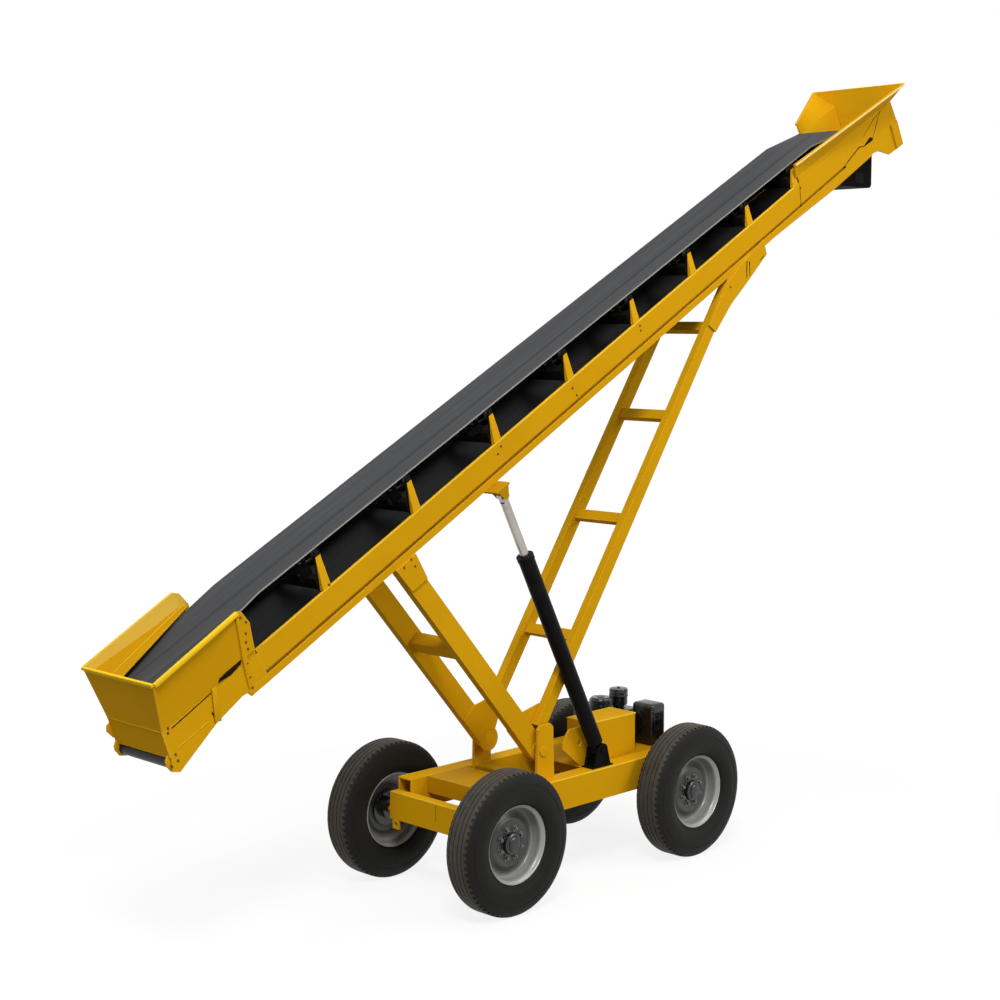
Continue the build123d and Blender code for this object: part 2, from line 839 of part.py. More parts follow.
def tail_roller():
    place, height = tail_roller_place, tail_roller_height
    drum = plate(Pos(place, height) * Circle(tail_roller_radius), -tail_roller_half, tail_roller_half)
    return drum + plate(Pos(place, height) * Circle(roller_shaft_radius), -web_inner_y, web_inner_y)


# Discharge hood
def head_side_plate(side):
    shape = outline((head_plate_start, upside(head_plate_start)), (stringer_end, upside(stringer_end)),
                    (stringer_end, underside(stringer_end)), *head_plate_points,
                    (hood_front, hood_knee_height), (head_plate_start, hood_knee_height))
    sheet = plate(shape, stringer_outer_y - hood_wall, stringer_outer_y)
    box = block(hood_front - corner_box_back, hood_front, stringer_outer_y - hood_wall,
                stringer_outer_y + corner_box_thickness, corner_box_low, corner_box_high)
    return side_of(sheet + box, side)


def hood_section(height, half):
    return flared_section(hood_knee_height, height, half, hood_wall, hood_rim, hood_rim_height)


def hood_wall_shape(side, start, half, height):
    first = cross_plane(start) * hood_section(height, half)
    last = cross_plane(hood_front) * hood_section(hood_lip_height, hood_lip_half)
    return side_of(loft([first, last], ruled=True), side)


def hood_end_plate():
    half = stringer_outer_y - hood_wall
    lip_half, lip, knee = hood_lip_half + hood_rim, hood_lip_height, hood_knee_height
    shape = outline((-half, end_plate_low), (half, end_plate_low), (half, knee), (stringer_outer_y, knee),
                    (lip_half, lip), (-lip_half, lip), (-stringer_outer_y, knee), (-half, knee))
    return Pos(hood_front, 0, 0) * extrude(Plane.YZ * shape, amount=end_plate_thickness)


# Drive unit
def drive_unit():
    down = (-math.sin(boom_turn), -math.cos(boom_turn))
    back = (-math.cos(boom_turn), math.sin(boom_turn))
    front_low = (drive_front + drive_drop * down[0], drive_top + drive_drop * down[1])
    back_low = (front_low[0] + drive_base * back[0], front_low[1] + drive_base * back[1])
    shape = outline((drive_back, drive_top), (drive_front, drive_top), front_low, back_low)
    body = plate(shape, -drive_half_width, drive_half_width)
    low_edge = body.edges().filter_by(Axis.Y).sort_by(Axis.Z)[0]
    return fillet(low_edge, drive_corner)


def drive_hangers():
    hangers = []
    half = boom_member_width / 2
    reach = stringer_outer_y - hood_wall
    for place in drive_hanger_places:
        hangers.append(block(place - half, place + half, -reach, reach,
                             drive_top, drive_top + boom_member_height))
    return hangers


# Arms and ladder
def bar_angle(foot_place, top_place):
    return math.degrees(math.atan2(pivot_below, top_place - foot_place))


def bar_length(foot_place, top_place):
    return math.hypot(pivot_below, top_place - foot_place)


def bar_plane(foot_place, top_place, start):
    turn = math.radians(bar_angle(foot_place, top_place))
    direction = (math.cos(turn), 0, math.sin(turn))
    origin = (foot_place + start * direction[0], frame_y, -pivot_below + start * direction[2])
    return Plane(origin=origin, x_dir=(0, 1, 0), z_dir=direction)


def bar_outline(foot_place, top_place, start, end, depth):
    bar = Pos((start + end) / 2, 0) * Rectangle(end - start, depth)
    return Pos(foot_place, -pivot_below) * Rot(Z=bar_angle(foot_place, top_place)) * bar


def above_stringers():
    reach = 2 * stringer_end
    return stringer_frame * block(-reach, reach, -stringer_end, stringer_end, 0, stringer_end)


def arm():
    section = Rectangle(frame_width, arm_depth)
    section -= Pos(0, -arm_wall) * Rectangle(frame_width - 2 * arm_wall, arm_depth)
    length = bar_length(pivot_along, arm_top) + 2 * arm_depth
    bar = extrude(bar_plane(pivot_along, arm_top, 0) * section, amount=length) - above_stringers()
    spot = Pos(pivot_along, -pivot_below)
    boss = plate(spot * Circle(boss_radius), frame_y - boss_length / 2, frame_y + boss_length / 2)
    bore = plate(spot * Circle(pivot_pin_radius + running_clearance),
                 frame_y - boss_length, frame_y + boss_length)
    return bar + boss - bore


def arm_frame():
    half = arm_tie_size / 2
    tie = bar_outline(pivot_along, arm_top, arm_tie_place - half, arm_tie_place + half, arm_tie_size)
    left, right = both_sides(arm())
    return left + plate(tie, -frame_inner_y, frame_inner_y) + right


def ladder_leg():
    section = Rectangle(frame_width, leg_depth)
    section -= Rectangle(frame_width - 2 * leg_wall, leg_depth - 2 * leg_wall)
    length = bar_length(ladder_foot, ladder_top) + 6 * leg_depth - leg_start
    return extrude(bar_plane(ladder_foot, ladder_top, leg_start) * section, amount=length) - above_stringers()


def ladder():
    left, right = both_sides(ladder_leg())
    frame = left
    for place in rung_places:
        half = rung_width / 2
        shape = bar_outline(ladder_foot, ladder_top, place - half, place + half, rung_depth)
        frame += plate(shape, -frame_inner_y, frame_inner_y)
    return frame + right


def knee_plate():
    spot = Pos(pivot_along, -pivot_below)
    leg = bar_outline(ladder_foot, ladder_top, leg_start, knee_leg_reach, leg_depth)
    shape = make_hull((bar_outline(pivot_along, arm_top, 0, knee_reach, arm_depth) + leg).edges())
    shape += spot * Circle(boss_radius + knee_margin)
    shape -= spot * Circle(boss_radius + seat_gap)
    return plate(shape, frame_inner_y - knee_thickness, frame_inner_y)


def arm_bracket():
    turn = math.radians(bar_angle(pivot_along, arm_top))
    middle = arm_top - arm_bracket_drop / math.tan(turn)
    half = arm_depth / 2 / math.sin(turn)
    left, right = arm_top - arm_bracket_reach, arm_top + arm_bracket_reach
    shape = outline((left, underside(left)), (right, underside(right)),
                    (middle + half, -arm_bracket_drop), (middle - half, -arm_bracket_drop))
    return plate(shape, frame_outer_y, frame_outer_y + bracket_plate)


def ladder_bracket():
    return plate(outline(*ladder_bracket_points), frame_outer_y, frame_outer_y + bracket_plate)


# Hydraulic cylinder
def cylinder_barrel():
    eye = plate(Circle(base_eye_radius), -eye_width / 2, eye_width / 2)
    neck_top = barrel_start + neck_overlap
    neck = block(-neck_depth / 2, neck_depth / 2, -eye_width / 2, eye_width / 2, 0, neck_top)
    tube_length = barrel_length - barrel_start
    tube = Pos(0, 0, barrel_start + tube_length / 2) * Cylinder(barrel_radius, tube_length)
    gland = Pos(0, 0, barrel_length - gland_length / 2) * Cylinder(gland_radius, gland_length)
    bore_depth = barrel_length - barrel_bore_start
    bore_middle = barrel_bore_start + bore_depth / 2
    bore = Pos(0, 0, bore_middle) * Cylinder(rod_radius + running_clearance, bore_depth)
    pin_bore = plate(Circle(base_pin_radius + running_clearance), -eye_width, eye_width)
    return eye + neck + tube + gland - bore - pin_bore


def cylinder_rod():
    low = barrel_length - rod_inside
    high = cylinder_span - rod_neck
    neck_top = cylinder_span - top_pin_radius - top_pin_clearance
    half = top_eye_width / 2
    shaft = Pos(0, 0, (low + high) / 2) * Cylinder(rod_radius, high - low)
    neck = block(-rod_neck_half, rod_neck_half, -half, half, high, neck_top)
    eye = Pos(0, 0, cylinder_span) * plate(Circle(top_eye_radius), -half, half)
    bore_radius = top_pin_radius + top_pin_clearance
    bore = Pos(0, 0, cylinder_span) * plate(Circle(bore_radius), -top_eye_width, top_eye_width)
    return shaft + neck + eye - bore


def cylinder_top_bracket():
    place, height = cylinder_top_place, -cylinder_top_drop
    inner_face = cylinder_y + top_eye_width / 2 + ear_clearance
    outer_face = cylinder_y - top_eye_width / 2 - ear_clearance
    ear = outline((place - top_ear_foot / 2, -bracket_plate), (place + top_ear_foot / 2, -bracket_plate),
                  (place + top_ear_radius, height), (place - top_ear_radius, height))
    ear += Pos(place, height) * Circle(top_ear_radius)
    base = block(place - top_plate_length / 2, place + top_plate_length / 2, outer_face - top_ear_thickness,
                 -stringer_outer_y + stringer_flange, -bracket_plate, 0)
    pin = plate(Pos(place, height) * Circle(top_pin_radius), outer_face, inner_face)
    bracket = (base + plate(ear, inner_face, inner_face + top_ear_thickness)
               + plate(ear, outer_face - top_ear_thickness, outer_face) + pin)
    return stringer_frame * bracket


# Export
def group(solids):
    return Compound(children=solids)


def pair(solid):
    return group(both_sides(solid))


def chassis():
    return {
        "rails": pair(rail()),
        "front_cross_beam": front_beam(),
        "rear_cross_beam": rear_beam(),
        "deck": group(deck()),
        "front_axle": axle(front_axle_x, 1),
        "rear_axle": axle(rear_axle_x, -1),
        "pivot_posts": pair(pivot_post()),
        "pivot_pins": pair(pivot_pin()),
        "cylinder_base_bracket": cylinder_bracket(),
        "hydraulic_tank": tank(),
        "tank_side_plate": tank_side_plate(),
        "engine_block": engine_block(),
        "engine_drum": engine_drum(),
        "air_filter": air_filter(),
        "oil_cooler": oil_cooler(),
    }


def boom():
    frame_brackets = both_sides(knee_plate()) + both_sides(arm_bracket()) + both_sides(ladder_bracket())
    nodes = {
        "stringers": pair(stringer()),
        "boom_cross_members": group(boom_members() + drive_hangers()),
        "belt": belt(),
        "head_pulley": pulley(head_pulley_place, stringer_outer_y - hood_wall),
        "tail_pulley": pulley(tail_pulley_place, web_inner_y),
        "tail_bearings": pair(tail_bearing()),
        "idler_brackets": group(idler_brackets()),
        "idler_bars": group(idler_bars()),
        "idler_rollers": group(idler_rollers()),
        "return_rollers": group(return_rollers()),
        "hopper_panels": pair(hopper_panel()),
        "hopper_walls": pair(hopper_wall_shape()),
        "hopper_skirts": pair(hopper_skirt()),
        "hopper_flanges": pair(hopper_flange()),
        "hopper_front_plate": hopper_front_plate(),
        "tail_roller": tail_roller(),
        "head_side_plates": group([head_side_plate(side) for side in (1, -1)]),
        "hood_walls": group([hood_wall_shape(*row) for row in hood_table]),
        "hood_end_plate": hood_end_plate(),
        "drive_unit": drive_unit(),
        "arm_frame": arm_frame(),
        "ladder": ladder(),
        "frame_brackets": group(frame_brackets),
        "cylinder_top_bracket": cylinder_top_bracket(),
    }
    return {name: boom_frame * solid for name, solid in nodes.items()}


def main():
    nodes = {**chassis(), **wheels(), **boom()}
    nodes["cylinder_barrel"] = cylinder_frame * cylinder_barrel()
    nodes["cylinder_rod"] = cylinder_frame * cylinder_rod()
    os.makedirs("parts", exist_ok=True)
    for name, piece in nodes.items():
        export_step(piece, "parts/" + name + ".step")


main()
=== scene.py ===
import json
import math
import bmesh
import bpy
from mathutils import Matrix, Vector


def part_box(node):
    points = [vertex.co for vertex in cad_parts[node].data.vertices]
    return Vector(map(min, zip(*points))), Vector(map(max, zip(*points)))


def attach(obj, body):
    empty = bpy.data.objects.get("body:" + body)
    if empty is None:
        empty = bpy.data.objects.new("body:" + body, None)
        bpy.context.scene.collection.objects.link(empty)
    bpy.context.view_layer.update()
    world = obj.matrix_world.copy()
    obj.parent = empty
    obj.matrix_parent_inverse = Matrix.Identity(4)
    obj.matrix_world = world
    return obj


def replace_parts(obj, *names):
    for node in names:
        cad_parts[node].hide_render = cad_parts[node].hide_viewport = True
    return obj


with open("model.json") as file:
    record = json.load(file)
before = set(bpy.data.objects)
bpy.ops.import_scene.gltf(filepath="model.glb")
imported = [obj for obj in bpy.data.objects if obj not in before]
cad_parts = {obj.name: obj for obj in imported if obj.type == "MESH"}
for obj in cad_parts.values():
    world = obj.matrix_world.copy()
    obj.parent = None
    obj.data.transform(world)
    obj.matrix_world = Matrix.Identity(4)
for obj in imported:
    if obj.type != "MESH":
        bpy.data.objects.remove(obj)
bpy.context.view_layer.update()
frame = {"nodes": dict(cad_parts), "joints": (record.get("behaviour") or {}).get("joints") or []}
nodes = frame["nodes"]
joints = {joint["name"]: joint for joint in frame["joints"]}
print("frame loaded:", len(nodes), "nodes")

# Camera at the photograph's viewing angle
cameraSet = {"place": (-7.8075, -7.236, 3.283), "turn": -45.0, "dip": 5.92, "lens": 64.42, "sensor": 36.0,
             "reach": 200.0}
camera = bpy.data.objects.new("camera", bpy.data.cameras.new("camera"))
bpy.context.scene.collection.objects.link(camera)
camera.location = cameraSet["place"]
turn, dip = math.radians(cameraSet["turn"]), math.radians(cameraSet["dip"])
ahead = Vector((-math.sin(turn) * math.cos(dip), math.cos(turn) * math.cos(dip), -math.sin(dip)))
camera.rotation_euler = ahead.to_track_quat("-Z", "Y").to_euler()
camera.data.lens = cameraSet["lens"]
camera.data.sensor_width = cameraSet["sensor"]
camera.data.clip_end = cameraSet["reach"]
bpy.context.scene.camera = camera
bpy.context.scene.view_settings.view_transform = "Standard"

# Boom places are (along, across, above), in metres from the hopper flange
boomSet = {"angle": math.radians(28.28), "pivotAlong": 1.370, "pivotBelow": 1.488, "side": 0.232,
           "webLow": 0.036, "webTilt": math.radians(0.93), "webHeight": 0.187}
pivot = Vector(joints["boom_luff"]["pos_m"])
boomTurn = Matrix.Rotation(-boomSet["angle"], 4, "Y")
boomStart = pivot - boomTurn @ Vector((boomSet["pivotAlong"], 0, -boomSet["pivotBelow"]))
boomFrame = Matrix.Translation(boomStart) @ boomTurn


def webLow(along):
    return boomSet["webLow"] + along * math.tan(boomSet["webTilt"])


def webTop(along):
    return webLow(along) + boomSet["webHeight"]


# Shader maths: a wrapped socket takes plain operators
class Wire:
    def __init__(self, finish, socket):
        self.finish = finish
        self.socket = socket

    def maths(self, operation, *others):
        values = [self.socket] + [other.socket if isinstance(other, Wire) else other for other in others]
        made = self.finish.node("ShaderNodeMath", {"operation": operation}, dict(enumerate(values)))
        return Wire(self.finish, made.outputs[0])

    def __add__(self, other): return self.maths("ADD", other)
    def __radd__(self, other): return self.maths("ADD", other)
    def __sub__(self, other): return self.maths("SUBTRACT", other)
    def __rsub__(self, other): return (self * -1) + other
    def __mul__(self, other): return self.maths("MULTIPLY", other)
    def __rmul__(self, other): return self.maths("MULTIPLY", other)
    def __pow__(self, other): return self.maths("POWER", other)

    def above(self, other): return self.maths("GREATER_THAN", other)
    def below(self, other): return self.maths("LESS_THAN", other)
    def most(self, other): return self.maths("MAXIMUM", other)
    def size(self): return self.maths("ABSOLUTE")

    def ramp(self, low, high, lowTo=0.0, highTo=1.0):
        made = self.finish.node("ShaderNodeMapRange", {"interpolation_type": "SMOOTHSTEP"},
                                {0: self, 1: low, 2: high, 3: lowTo, 4: highTo})
        return Wire(self.finish, made.outputs[0])


class Finish:
    def __init__(self, name, color, roughness=0.5, metallic=0.0, specular=0.5):
        self.material = bpy.data.materials.new(name)
        self.material.use_nodes = True
        self.tree = self.material.node_tree
        self.shader = self.tree.nodes["Principled BSDF"]
        self.set("Base Color", (*color, 1))
        self.set("Roughness", roughness)
        self.set("Metallic", metallic)
        self.set("Specular IOR Level", specular)
        self.place = self.node("ShaderNodeTexCoord").outputs["Object"]

    def node(self, kind, settings=None, inputs=None):
        made = self.tree.nodes.new(kind)
        for name, value in (settings or {}).items():
            setattr(made, name, value)
        for name, value in (inputs or {}).items():
            self.join(made.inputs[name], value)
        return made

    def join(self, socket, value):
        if isinstance(value, Wire):
            value = value.socket
        if isinstance(value, bpy.types.NodeSocket):
            self.tree.links.new(value, socket)
        else:
            socket.default_value = value

    def set(self, name, value):
        self.join(self.shader.inputs[name], value)

    def wire(self, socket):
        return Wire(self, socket)

    def stretched(self, scale, turn=0.0):
        return self.node("ShaderNodeMapping", None, {"Vector": self.place, "Rotation": (0, turn, 0),
                                                     "Scale": scale}).outputs[0]

    def noise(self, scale, detail=3.0, roughness=0.55, vector=None):
        made = self.node("ShaderNodeTexNoise", None, {"Vector": vector or self.place, "Scale": scale,
                                                      "Detail": detail, "Roughness": roughness})
        return self.wire(made.outputs["Fac"])

    def axis(self, name, vector=None):
        return self.wire(self.node("ShaderNodeSeparateXYZ", None, {0: vector or self.place}).outputs[name])

    def facing(self, name):
        return self.axis(name, self.node("ShaderNodeNewGeometry").outputs["Normal"])

    def reach(self, centre):
        alongX, alongZ = self.axis("X") - centre[0], self.axis("Z") - centre[2]
        return (alongX * alongX + alongZ * alongZ) ** 0.5

    def rings(self, reach, scale):
        return self.noise(scale, 3.0, 0.6, self.node("ShaderNodeCombineXYZ", None, {0: reach}).outputs[0])

    def mix(self, factor, first, second):
        made = self.node("ShaderNodeMix", {"data_type": "RGBA"}, {0: factor})
        for slot, value in ((6, first), (7, second)):
            self.join(made.inputs[slot], (*value, 1) if isinstance(value, tuple) else value)
        return made.outputs[2]

    def bump(self, height, strength, distance, normal=None):
        inputs = {"Height": height, "Strength": strength, "Distance": distance}
        if normal is not None:
            inputs["Normal"] = normal
        return self.node("ShaderNodeBump", None, inputs).outputs[0]

    def rounded(self, radius):
        return self.node("ShaderNodeBevel", {"samples": 4}, {"Radius": radius}).outputs[0]

    def wornAndLit(self, radius):
        flat = self.node("ShaderNodeNewGeometry").outputs["Normal"]
        dot = self.node("ShaderNodeVectorMath", {"operation": "DOT_PRODUCT"},
                        {0: self.rounded(radius), 1: flat})
        return 1 - self.wire(dot.outputs["Value"])

    def creviceShade(self, distance):
        made = self.node("ShaderNodeAmbientOcclusion", {"samples": 6}, {"Distance": distance})
        return 1 - self.wire(made.outputs["AO"])


def boomAlong(finish):
    return (finish.axis("X") - boomStart.x) * math.cos(boomSet["angle"]) \
        + (finish.axis("Z") - boomStart.z) * math.sin(boomSet["angle"])


def boomAbove(finish):
    return (finish.axis("X") - boomStart.x) * -math.sin(boomSet["angle"]) \
        + (finish.axis("Z") - boomStart.z) * math.cos(boomSet["angle"])


paintSet = {"amber": (0.700, 0.355, 0.0040), "pale": (0.90, 0.58, 0.050), "litAmber": (0.98, 0.57, 0.0100),
            "rim": (0.90, 0.565, 0.018), "litInnerFace": (0.70, 0.46, 0.060), "shadedAmber": (0.520, 0.262, 0.0030),
            "foot": (0.012, 0.009, 0.006), "bead": (0.95, 0.74, 0.280), "edgeHighlight": (0.92, 0.60, 0.040),
            "black": (0.006, 0.005, 0.004), "shadeAndGrime": (0.070, 0.033, 0.004), "edge": 0.006, "round": 0.003,
            "specular": 0.022, "rough": 0.50, "dent": 0.004, "rimFade": (0.035, 0.020, 0.003),
            "rimFrom": 0.449, "blackFrom": 5.5, "shadeWithin": 0.2045}


def yellowPaint(name, base, paintedInside=None, rimFrom=None, blackFrom=None, shadeWithin=None):
    finish = Finish(name, base, specular=paintSet["specular"])
    patches = finish.noise(1.3, 4.0)
    color = finish.mix(patches.ramp(0.40, 0.72, 0, 0.5), base, tuple(0.82 * part for part in base))
    inner = (finish.facing("Y") * finish.axis("Y")).below(-0.05)
    if rimFrom:  # painted light: paler inner faces below the rim; brighter paint on the rim
        first, last, band = [rimFrom - fade for fade in paintSet["rimFade"]]
        color = finish.mix(inner * boomAbove(finish).ramp(first, last), color, paintSet["litInnerFace"])
        color = finish.mix(boomAbove(finish).ramp(band, rimFrom) * (1 - inner), color, paintSet["rim"])
    # painted light and painted shade on the inward faces: a brighter amber inside the head plates, black
    # inside the stringers
    if paintedInside:
        color = finish.mix(inner, color, paintedInside)
    edge = finish.wornAndLit(paintSet["edge"]).ramp(0.015, 0.14)  # paint rubbed pale along the edges, with a painted highlight on them
    color = finish.mix(edge * 0.7, color, paintSet["pale"])
    # painted shade: the idler brackets' feet, within this reach of the middle, are near black
    if shadeWithin:
        color = finish.mix(finish.axis("Y").size().below(shadeWithin), color, paintSet["foot"])
    if blackFrom:
        color = finish.mix(boomAlong(finish).above(blackFrom), color, paintSet["black"])
    # painted shade darkening the corners, from ambient occlusion, and grime in a few specks
    corner = finish.creviceShade(0.030).ramp(0.42, 0.95) * finish.noise(17.0, 3.0).ramp(0.25, 0.6, 0.45, 1.0)
    speck = finish.noise(11.0, 6.0, 0.7).ramp(0.70, 0.80) * finish.noise(2.2, 2.0).ramp(0.52, 0.68)
    color = finish.mix((corner * 0.85).most(speck * 0.5), color, paintSet["shadeAndGrime"])
    finish.set("Base Color", color)
    finish.set("Roughness", patches * 0.18 + paintSet["rough"] + speck * 0.25)
    peel = finish.noise(170.0, 2.0)
    dents = finish.noise(5.0, 2.0)
    finish.set("Normal", finish.bump(peel * 0.2 + dents, 0.10, paintSet["dent"],
                                     finish.rounded(paintSet["round"])))
    return finish.material


beltSet = {"grey": (0.056, 0.057, 0.060), "dust": (0.080, 0.081, 0.085), "under": (0.004, 0.004, 0.004),
           "fold": (0.036, 0.037, 0.039), "cut": (0.34, 0.32, 0.29), "foldPlace": 0.0675,
           "foldWide": (0.002, 0.014), "returnTop": 0.30, "fade": 0.02, "specular": 0.045}


def beltRubber():
    finish = Finish("beltRubber", beltSet["grey"], specular=beltSet["specular"])
    across, facingUp = finish.axis("Y"), finish.facing("Z")
    above, top = boomAbove(finish), beltSet["returnTop"]
    streaks = finish.noise(1.0, 4.0, 0.6, finish.stretched((0.5, 40.0, 0.5)))
    patches = finish.noise(1.7, 4.0)
    dusty = streaks.ramp(0.38, 0.72, 0, 0.75) * patches.ramp(0.3, 0.7, 0.5, 1.0)
    color = finish.mix(dusty, beltSet["grey"], beltSet["dust"])
    # painted shade: darker streaks along the belt's fold lines
    fold = 1 - (across.size() - beltSet["foldPlace"]).size().ramp(*beltSet["foldWide"])
    color = finish.mix(fold * 0.7, color, beltSet["fold"])
    # painted shade: all but the carrying side's upward faces are near black
    carry = facingUp.ramp(0.0, 0.3) * above.ramp(top - beltSet["fade"], top + beltSet["fade"])
    color = finish.mix(carry, beltSet["under"], color)
    edge = finish.facing("Y").size().ramp(0.9, 0.97) * above.above(top)
    color = finish.mix(edge, color, beltSet["cut"])
    finish.set("Base Color", color)
    finish.set("Roughness", streaks * 0.2 + 0.36)
    finish.set("Normal", finish.bump(finish.noise(240.0, 2.0) + streaks * 2, 0.12, 0.0015))
    return finish.material


tyreSet = {"black": (0.0078, 0.0075, 0.0071), "dust": (0.076, 0.067, 0.054), "treadFrom": (0.384, 0.399),
           "specular": 0.14}


def tyreRubber(centre):
    finish = Finish("tyreRubber", tyreSet["black"], specular=tyreSet["specular"])
    reach = finish.reach(centre)
    dust = finish.noise(16.0, 5.0, 0.65)
    share = dust.ramp(0.15, 0.75, 0.55, 1.0) * reach.ramp(*tyreSet["treadFrom"], 0.03, 1.0)
    finish.set("Base Color", finish.mix(share, tyreSet["black"], tyreSet["dust"]))
    finish.set("Roughness", dust * 0.25 + 0.45)
    finish.set("Normal", finish.bump(finish.noise(320.0, 2.0), 0.16, 0.001))
    return finish.material


wheelSet = {"disc": (0.060, 0.059, 0.057), "barrel": (0.33, 0.328, 0.320), "lip": (0.46, 0.45, 0.43),
            "rust": (0.050, 0.042, 0.034), "barrelFrom": (0.150, 0.186), "ringsTo": (0.196, 0.203),
            "lipFrom": (0.2160, 0.2178), "metal": 0.25}


def wheelPaint(centre):
    finish = Finish("wheelPaint", wheelSet["barrel"], metallic=wheelSet["metal"], specular=0.4)
    reach = finish.reach(centre)
    rings = finish.rings(reach, 130.0)
    color = finish.mix(reach.ramp(*wheelSet["barrelFrom"]), wheelSet["disc"], wheelSet["barrel"])
    turnMarks = rings.ramp(0.35, 0.7, 0, 0.45) * reach.ramp(0.11, 0.15, 0.3, 1.0)
    color = finish.mix(turnMarks * (1 - reach.ramp(*wheelSet["ringsTo"])), color, wheelSet["disc"])
    color = finish.mix(reach.ramp(*wheelSet["lipFrom"]), color, wheelSet["lip"])
    dirt = finish.noise(13.0, 5.0, 0.65).ramp(0.48, 0.72) * (1 - reach.ramp(0.14, 0.20))
    finish.set("Base Color", finish.mix(dirt * 0.7, color, wheelSet["rust"]))
    finish.set("Roughness", rings * 0.2 + 0.28)
    marks = rings + finish.noise(60.0, 3.0) * 0.6
    finish.set("Normal", finish.bump(marks, 0.12, 0.002, finish.rounded(0.0015)))
    return finish.material


def plainFinish(name, color, other, roughness, metallic=0.0, scale=8.0, peel=150.0, specular=0.4, lumps=0.0):
    finish = Finish(name, color, roughness, metallic, specular)
    patches = finish.noise(scale, 4.0, 0.6)
    finish.set("Base Color", finish.mix(patches.ramp(0.35, 0.75, 0, 0.8), color, other))
    finish.set("Roughness", patches * 0.2 + (roughness - 0.1))
    height = finish.noise(peel, 2.0) + finish.noise(26.0, 2.0, 0.45) * lumps
    finish.set("Normal", finish.bump(height, 0.10, 0.001 + 0.0012 * lumps, finish.rounded(0.002)))
    return finish.material


amberPaint = yellowPaint("yellowPaint", paintSet["amber"])
# painted shade: the stringers' inward faces are black
stringerShadedInsidePaint = yellowPaint("stringerShadedInsidePaint", paintSet["amber"], paintedInside=paintSet["black"])
memberPaint = yellowPaint("memberPaint", paintSet["amber"], blackFrom=paintSet["blackFrom"])
hopperPaint = yellowPaint("hopperPaint", paintSet["amber"], rimFrom=paintSet["rimFrom"])
# painted light: a brighter amber inside the head side plates and on the hood's end plate
plateLitInsidePaint = yellowPaint("plateLitInsidePaint", paintSet["amber"], paintedInside=paintSet["litAmber"])
# painted shade: a darker amber on the hopper skirts, the deck and the cylinder's top bracket
shadedAmberPaint = yellowPaint("shadedAmberPaint", paintSet["shadedAmber"])
shadedFootPaint = yellowPaint("shadedFootPaint", paintSet["amber"], shadeWithin=paintSet["shadeWithin"])
highlightBeadPaint = yellowPaint("highlightBeadPaint", paintSet["bead"])
highlightEdgePaint = yellowPaint("highlightEdgePaint", paintSet["edgeHighlight"])
litEndPaint = yellowPaint("litEndPaint", paintSet["litAmber"])
rubberBelt = beltRubber()
blackPaint = plainFinish("blackPaint", (0.0042, 0.0040, 0.0039), (0.0095, 0.0090, 0.0086), 0.40,
                         specular=0.05)
engineBlack = plainFinish("engineBlack", (0.0042, 0.0040, 0.0039), (0.0110, 0.0106, 0.0102), 0.20,
                          scale=24.0, specular=0.5, lumps=9.0)
hubBlack = plainFinish("hubBlack", (0.0042, 0.0040, 0.0039), (0.0110, 0.0106, 0.0102), 0.16, scale=40.0,
                       specular=0.6, lumps=6.0)
dullBlack = plainFinish("dullBlack", (0.0045, 0.0042, 0.0040), (0.0080, 0.0076, 0.0072), 0.65, specular=0.02)
coverBlack = plainFinish("coverBlack", (0.0095, 0.0090, 0.0086), (0.0130, 0.0124, 0.0118), 0.60,
                         specular=0.03)
blackRubber = plainFinish("blackRubber", (0.0060, 0.0060, 0.0059), (0.018, 0.017, 0.016), 0.40, scale=15.0,
                          specular=0.2)
rollerSteel = plainFinish("rollerSteel", (0.0070, 0.0069, 0.0067), (0.018, 0.0175, 0.017), 0.34, 0.1,
                          specular=0.2)
chromeRod = plainFinish("chromeRod", (0.43, 0.405, 0.37), (0.34, 0.315, 0.28), 0.24, 1.0, peel=60.0)
boltSteel = plainFinish("boltSteel", (0.110, 0.055, 0.008), (0.260, 0.135, 0.016), 0.42, 0.1, scale=60.0,
                        specular=0.2)
nutSteel = plainFinish("nutSteel", (0.20, 0.195, 0.19), (0.06, 0.058, 0.056), 0.22, 0.9, scale=50.0)
shadowGrime = plainFinish("shadowGrime", (0.010, 0.007, 0.004), (0.024, 0.013, 0.005), 0.75, scale=30.0,
                          specular=0.05)
print("materials made")

# Finishes of the solids that stay
finishOf = {"belt": rubberBelt, "cylinder_barrel": blackPaint, "drive_unit": dullBlack,
            "tail_roller": blackRubber, "cylinder_base_bracket": blackPaint, "engine_block": engineBlack,
            "engine_drum": engineBlack, "air_filter": engineBlack, "oil_cooler": engineBlack,
            "head_pulley": rollerSteel, "tail_pulley": rollerSteel, "idler_rollers": rollerSteel,
            "return_rollers": rollerSteel, "idler_bars": blackPaint, "cylinder_rod": chromeRod,
            "hopper_front_plate": hopperPaint, "head_side_plates": plateLitInsidePaint, "hood_end_plate": litEndPaint,
            "boom_cross_members": memberPaint, "deck": shadedAmberPaint, "stringers": stringerShadedInsidePaint,
            "idler_brackets": shadedFootPaint, "cylinder_top_bracket": shadedAmberPaint}
for name, piece in nodes.items():
    piece.data.materials.clear()
    piece.data.materials.append(finishOf.get(name, amberPaint))
print("solids painted")


# Making of pieces
def newPiece(name, mesh, body, finish, smooth=32.0):
    data = bpy.data.meshes.new(name)
    mesh.normal_update()
    mesh.to_mesh(data)
    mesh.free()
    piece = bpy.data.objects.new(name, data)
    bpy.context.scene.collection.objects.link(piece)
    data.materials.append(finish)
    for face in data.polygons:
        face.use_smooth = True
    data.set_sharp_from_angle(angle=math.radians(smooth))
    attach(piece, body)
    return piece


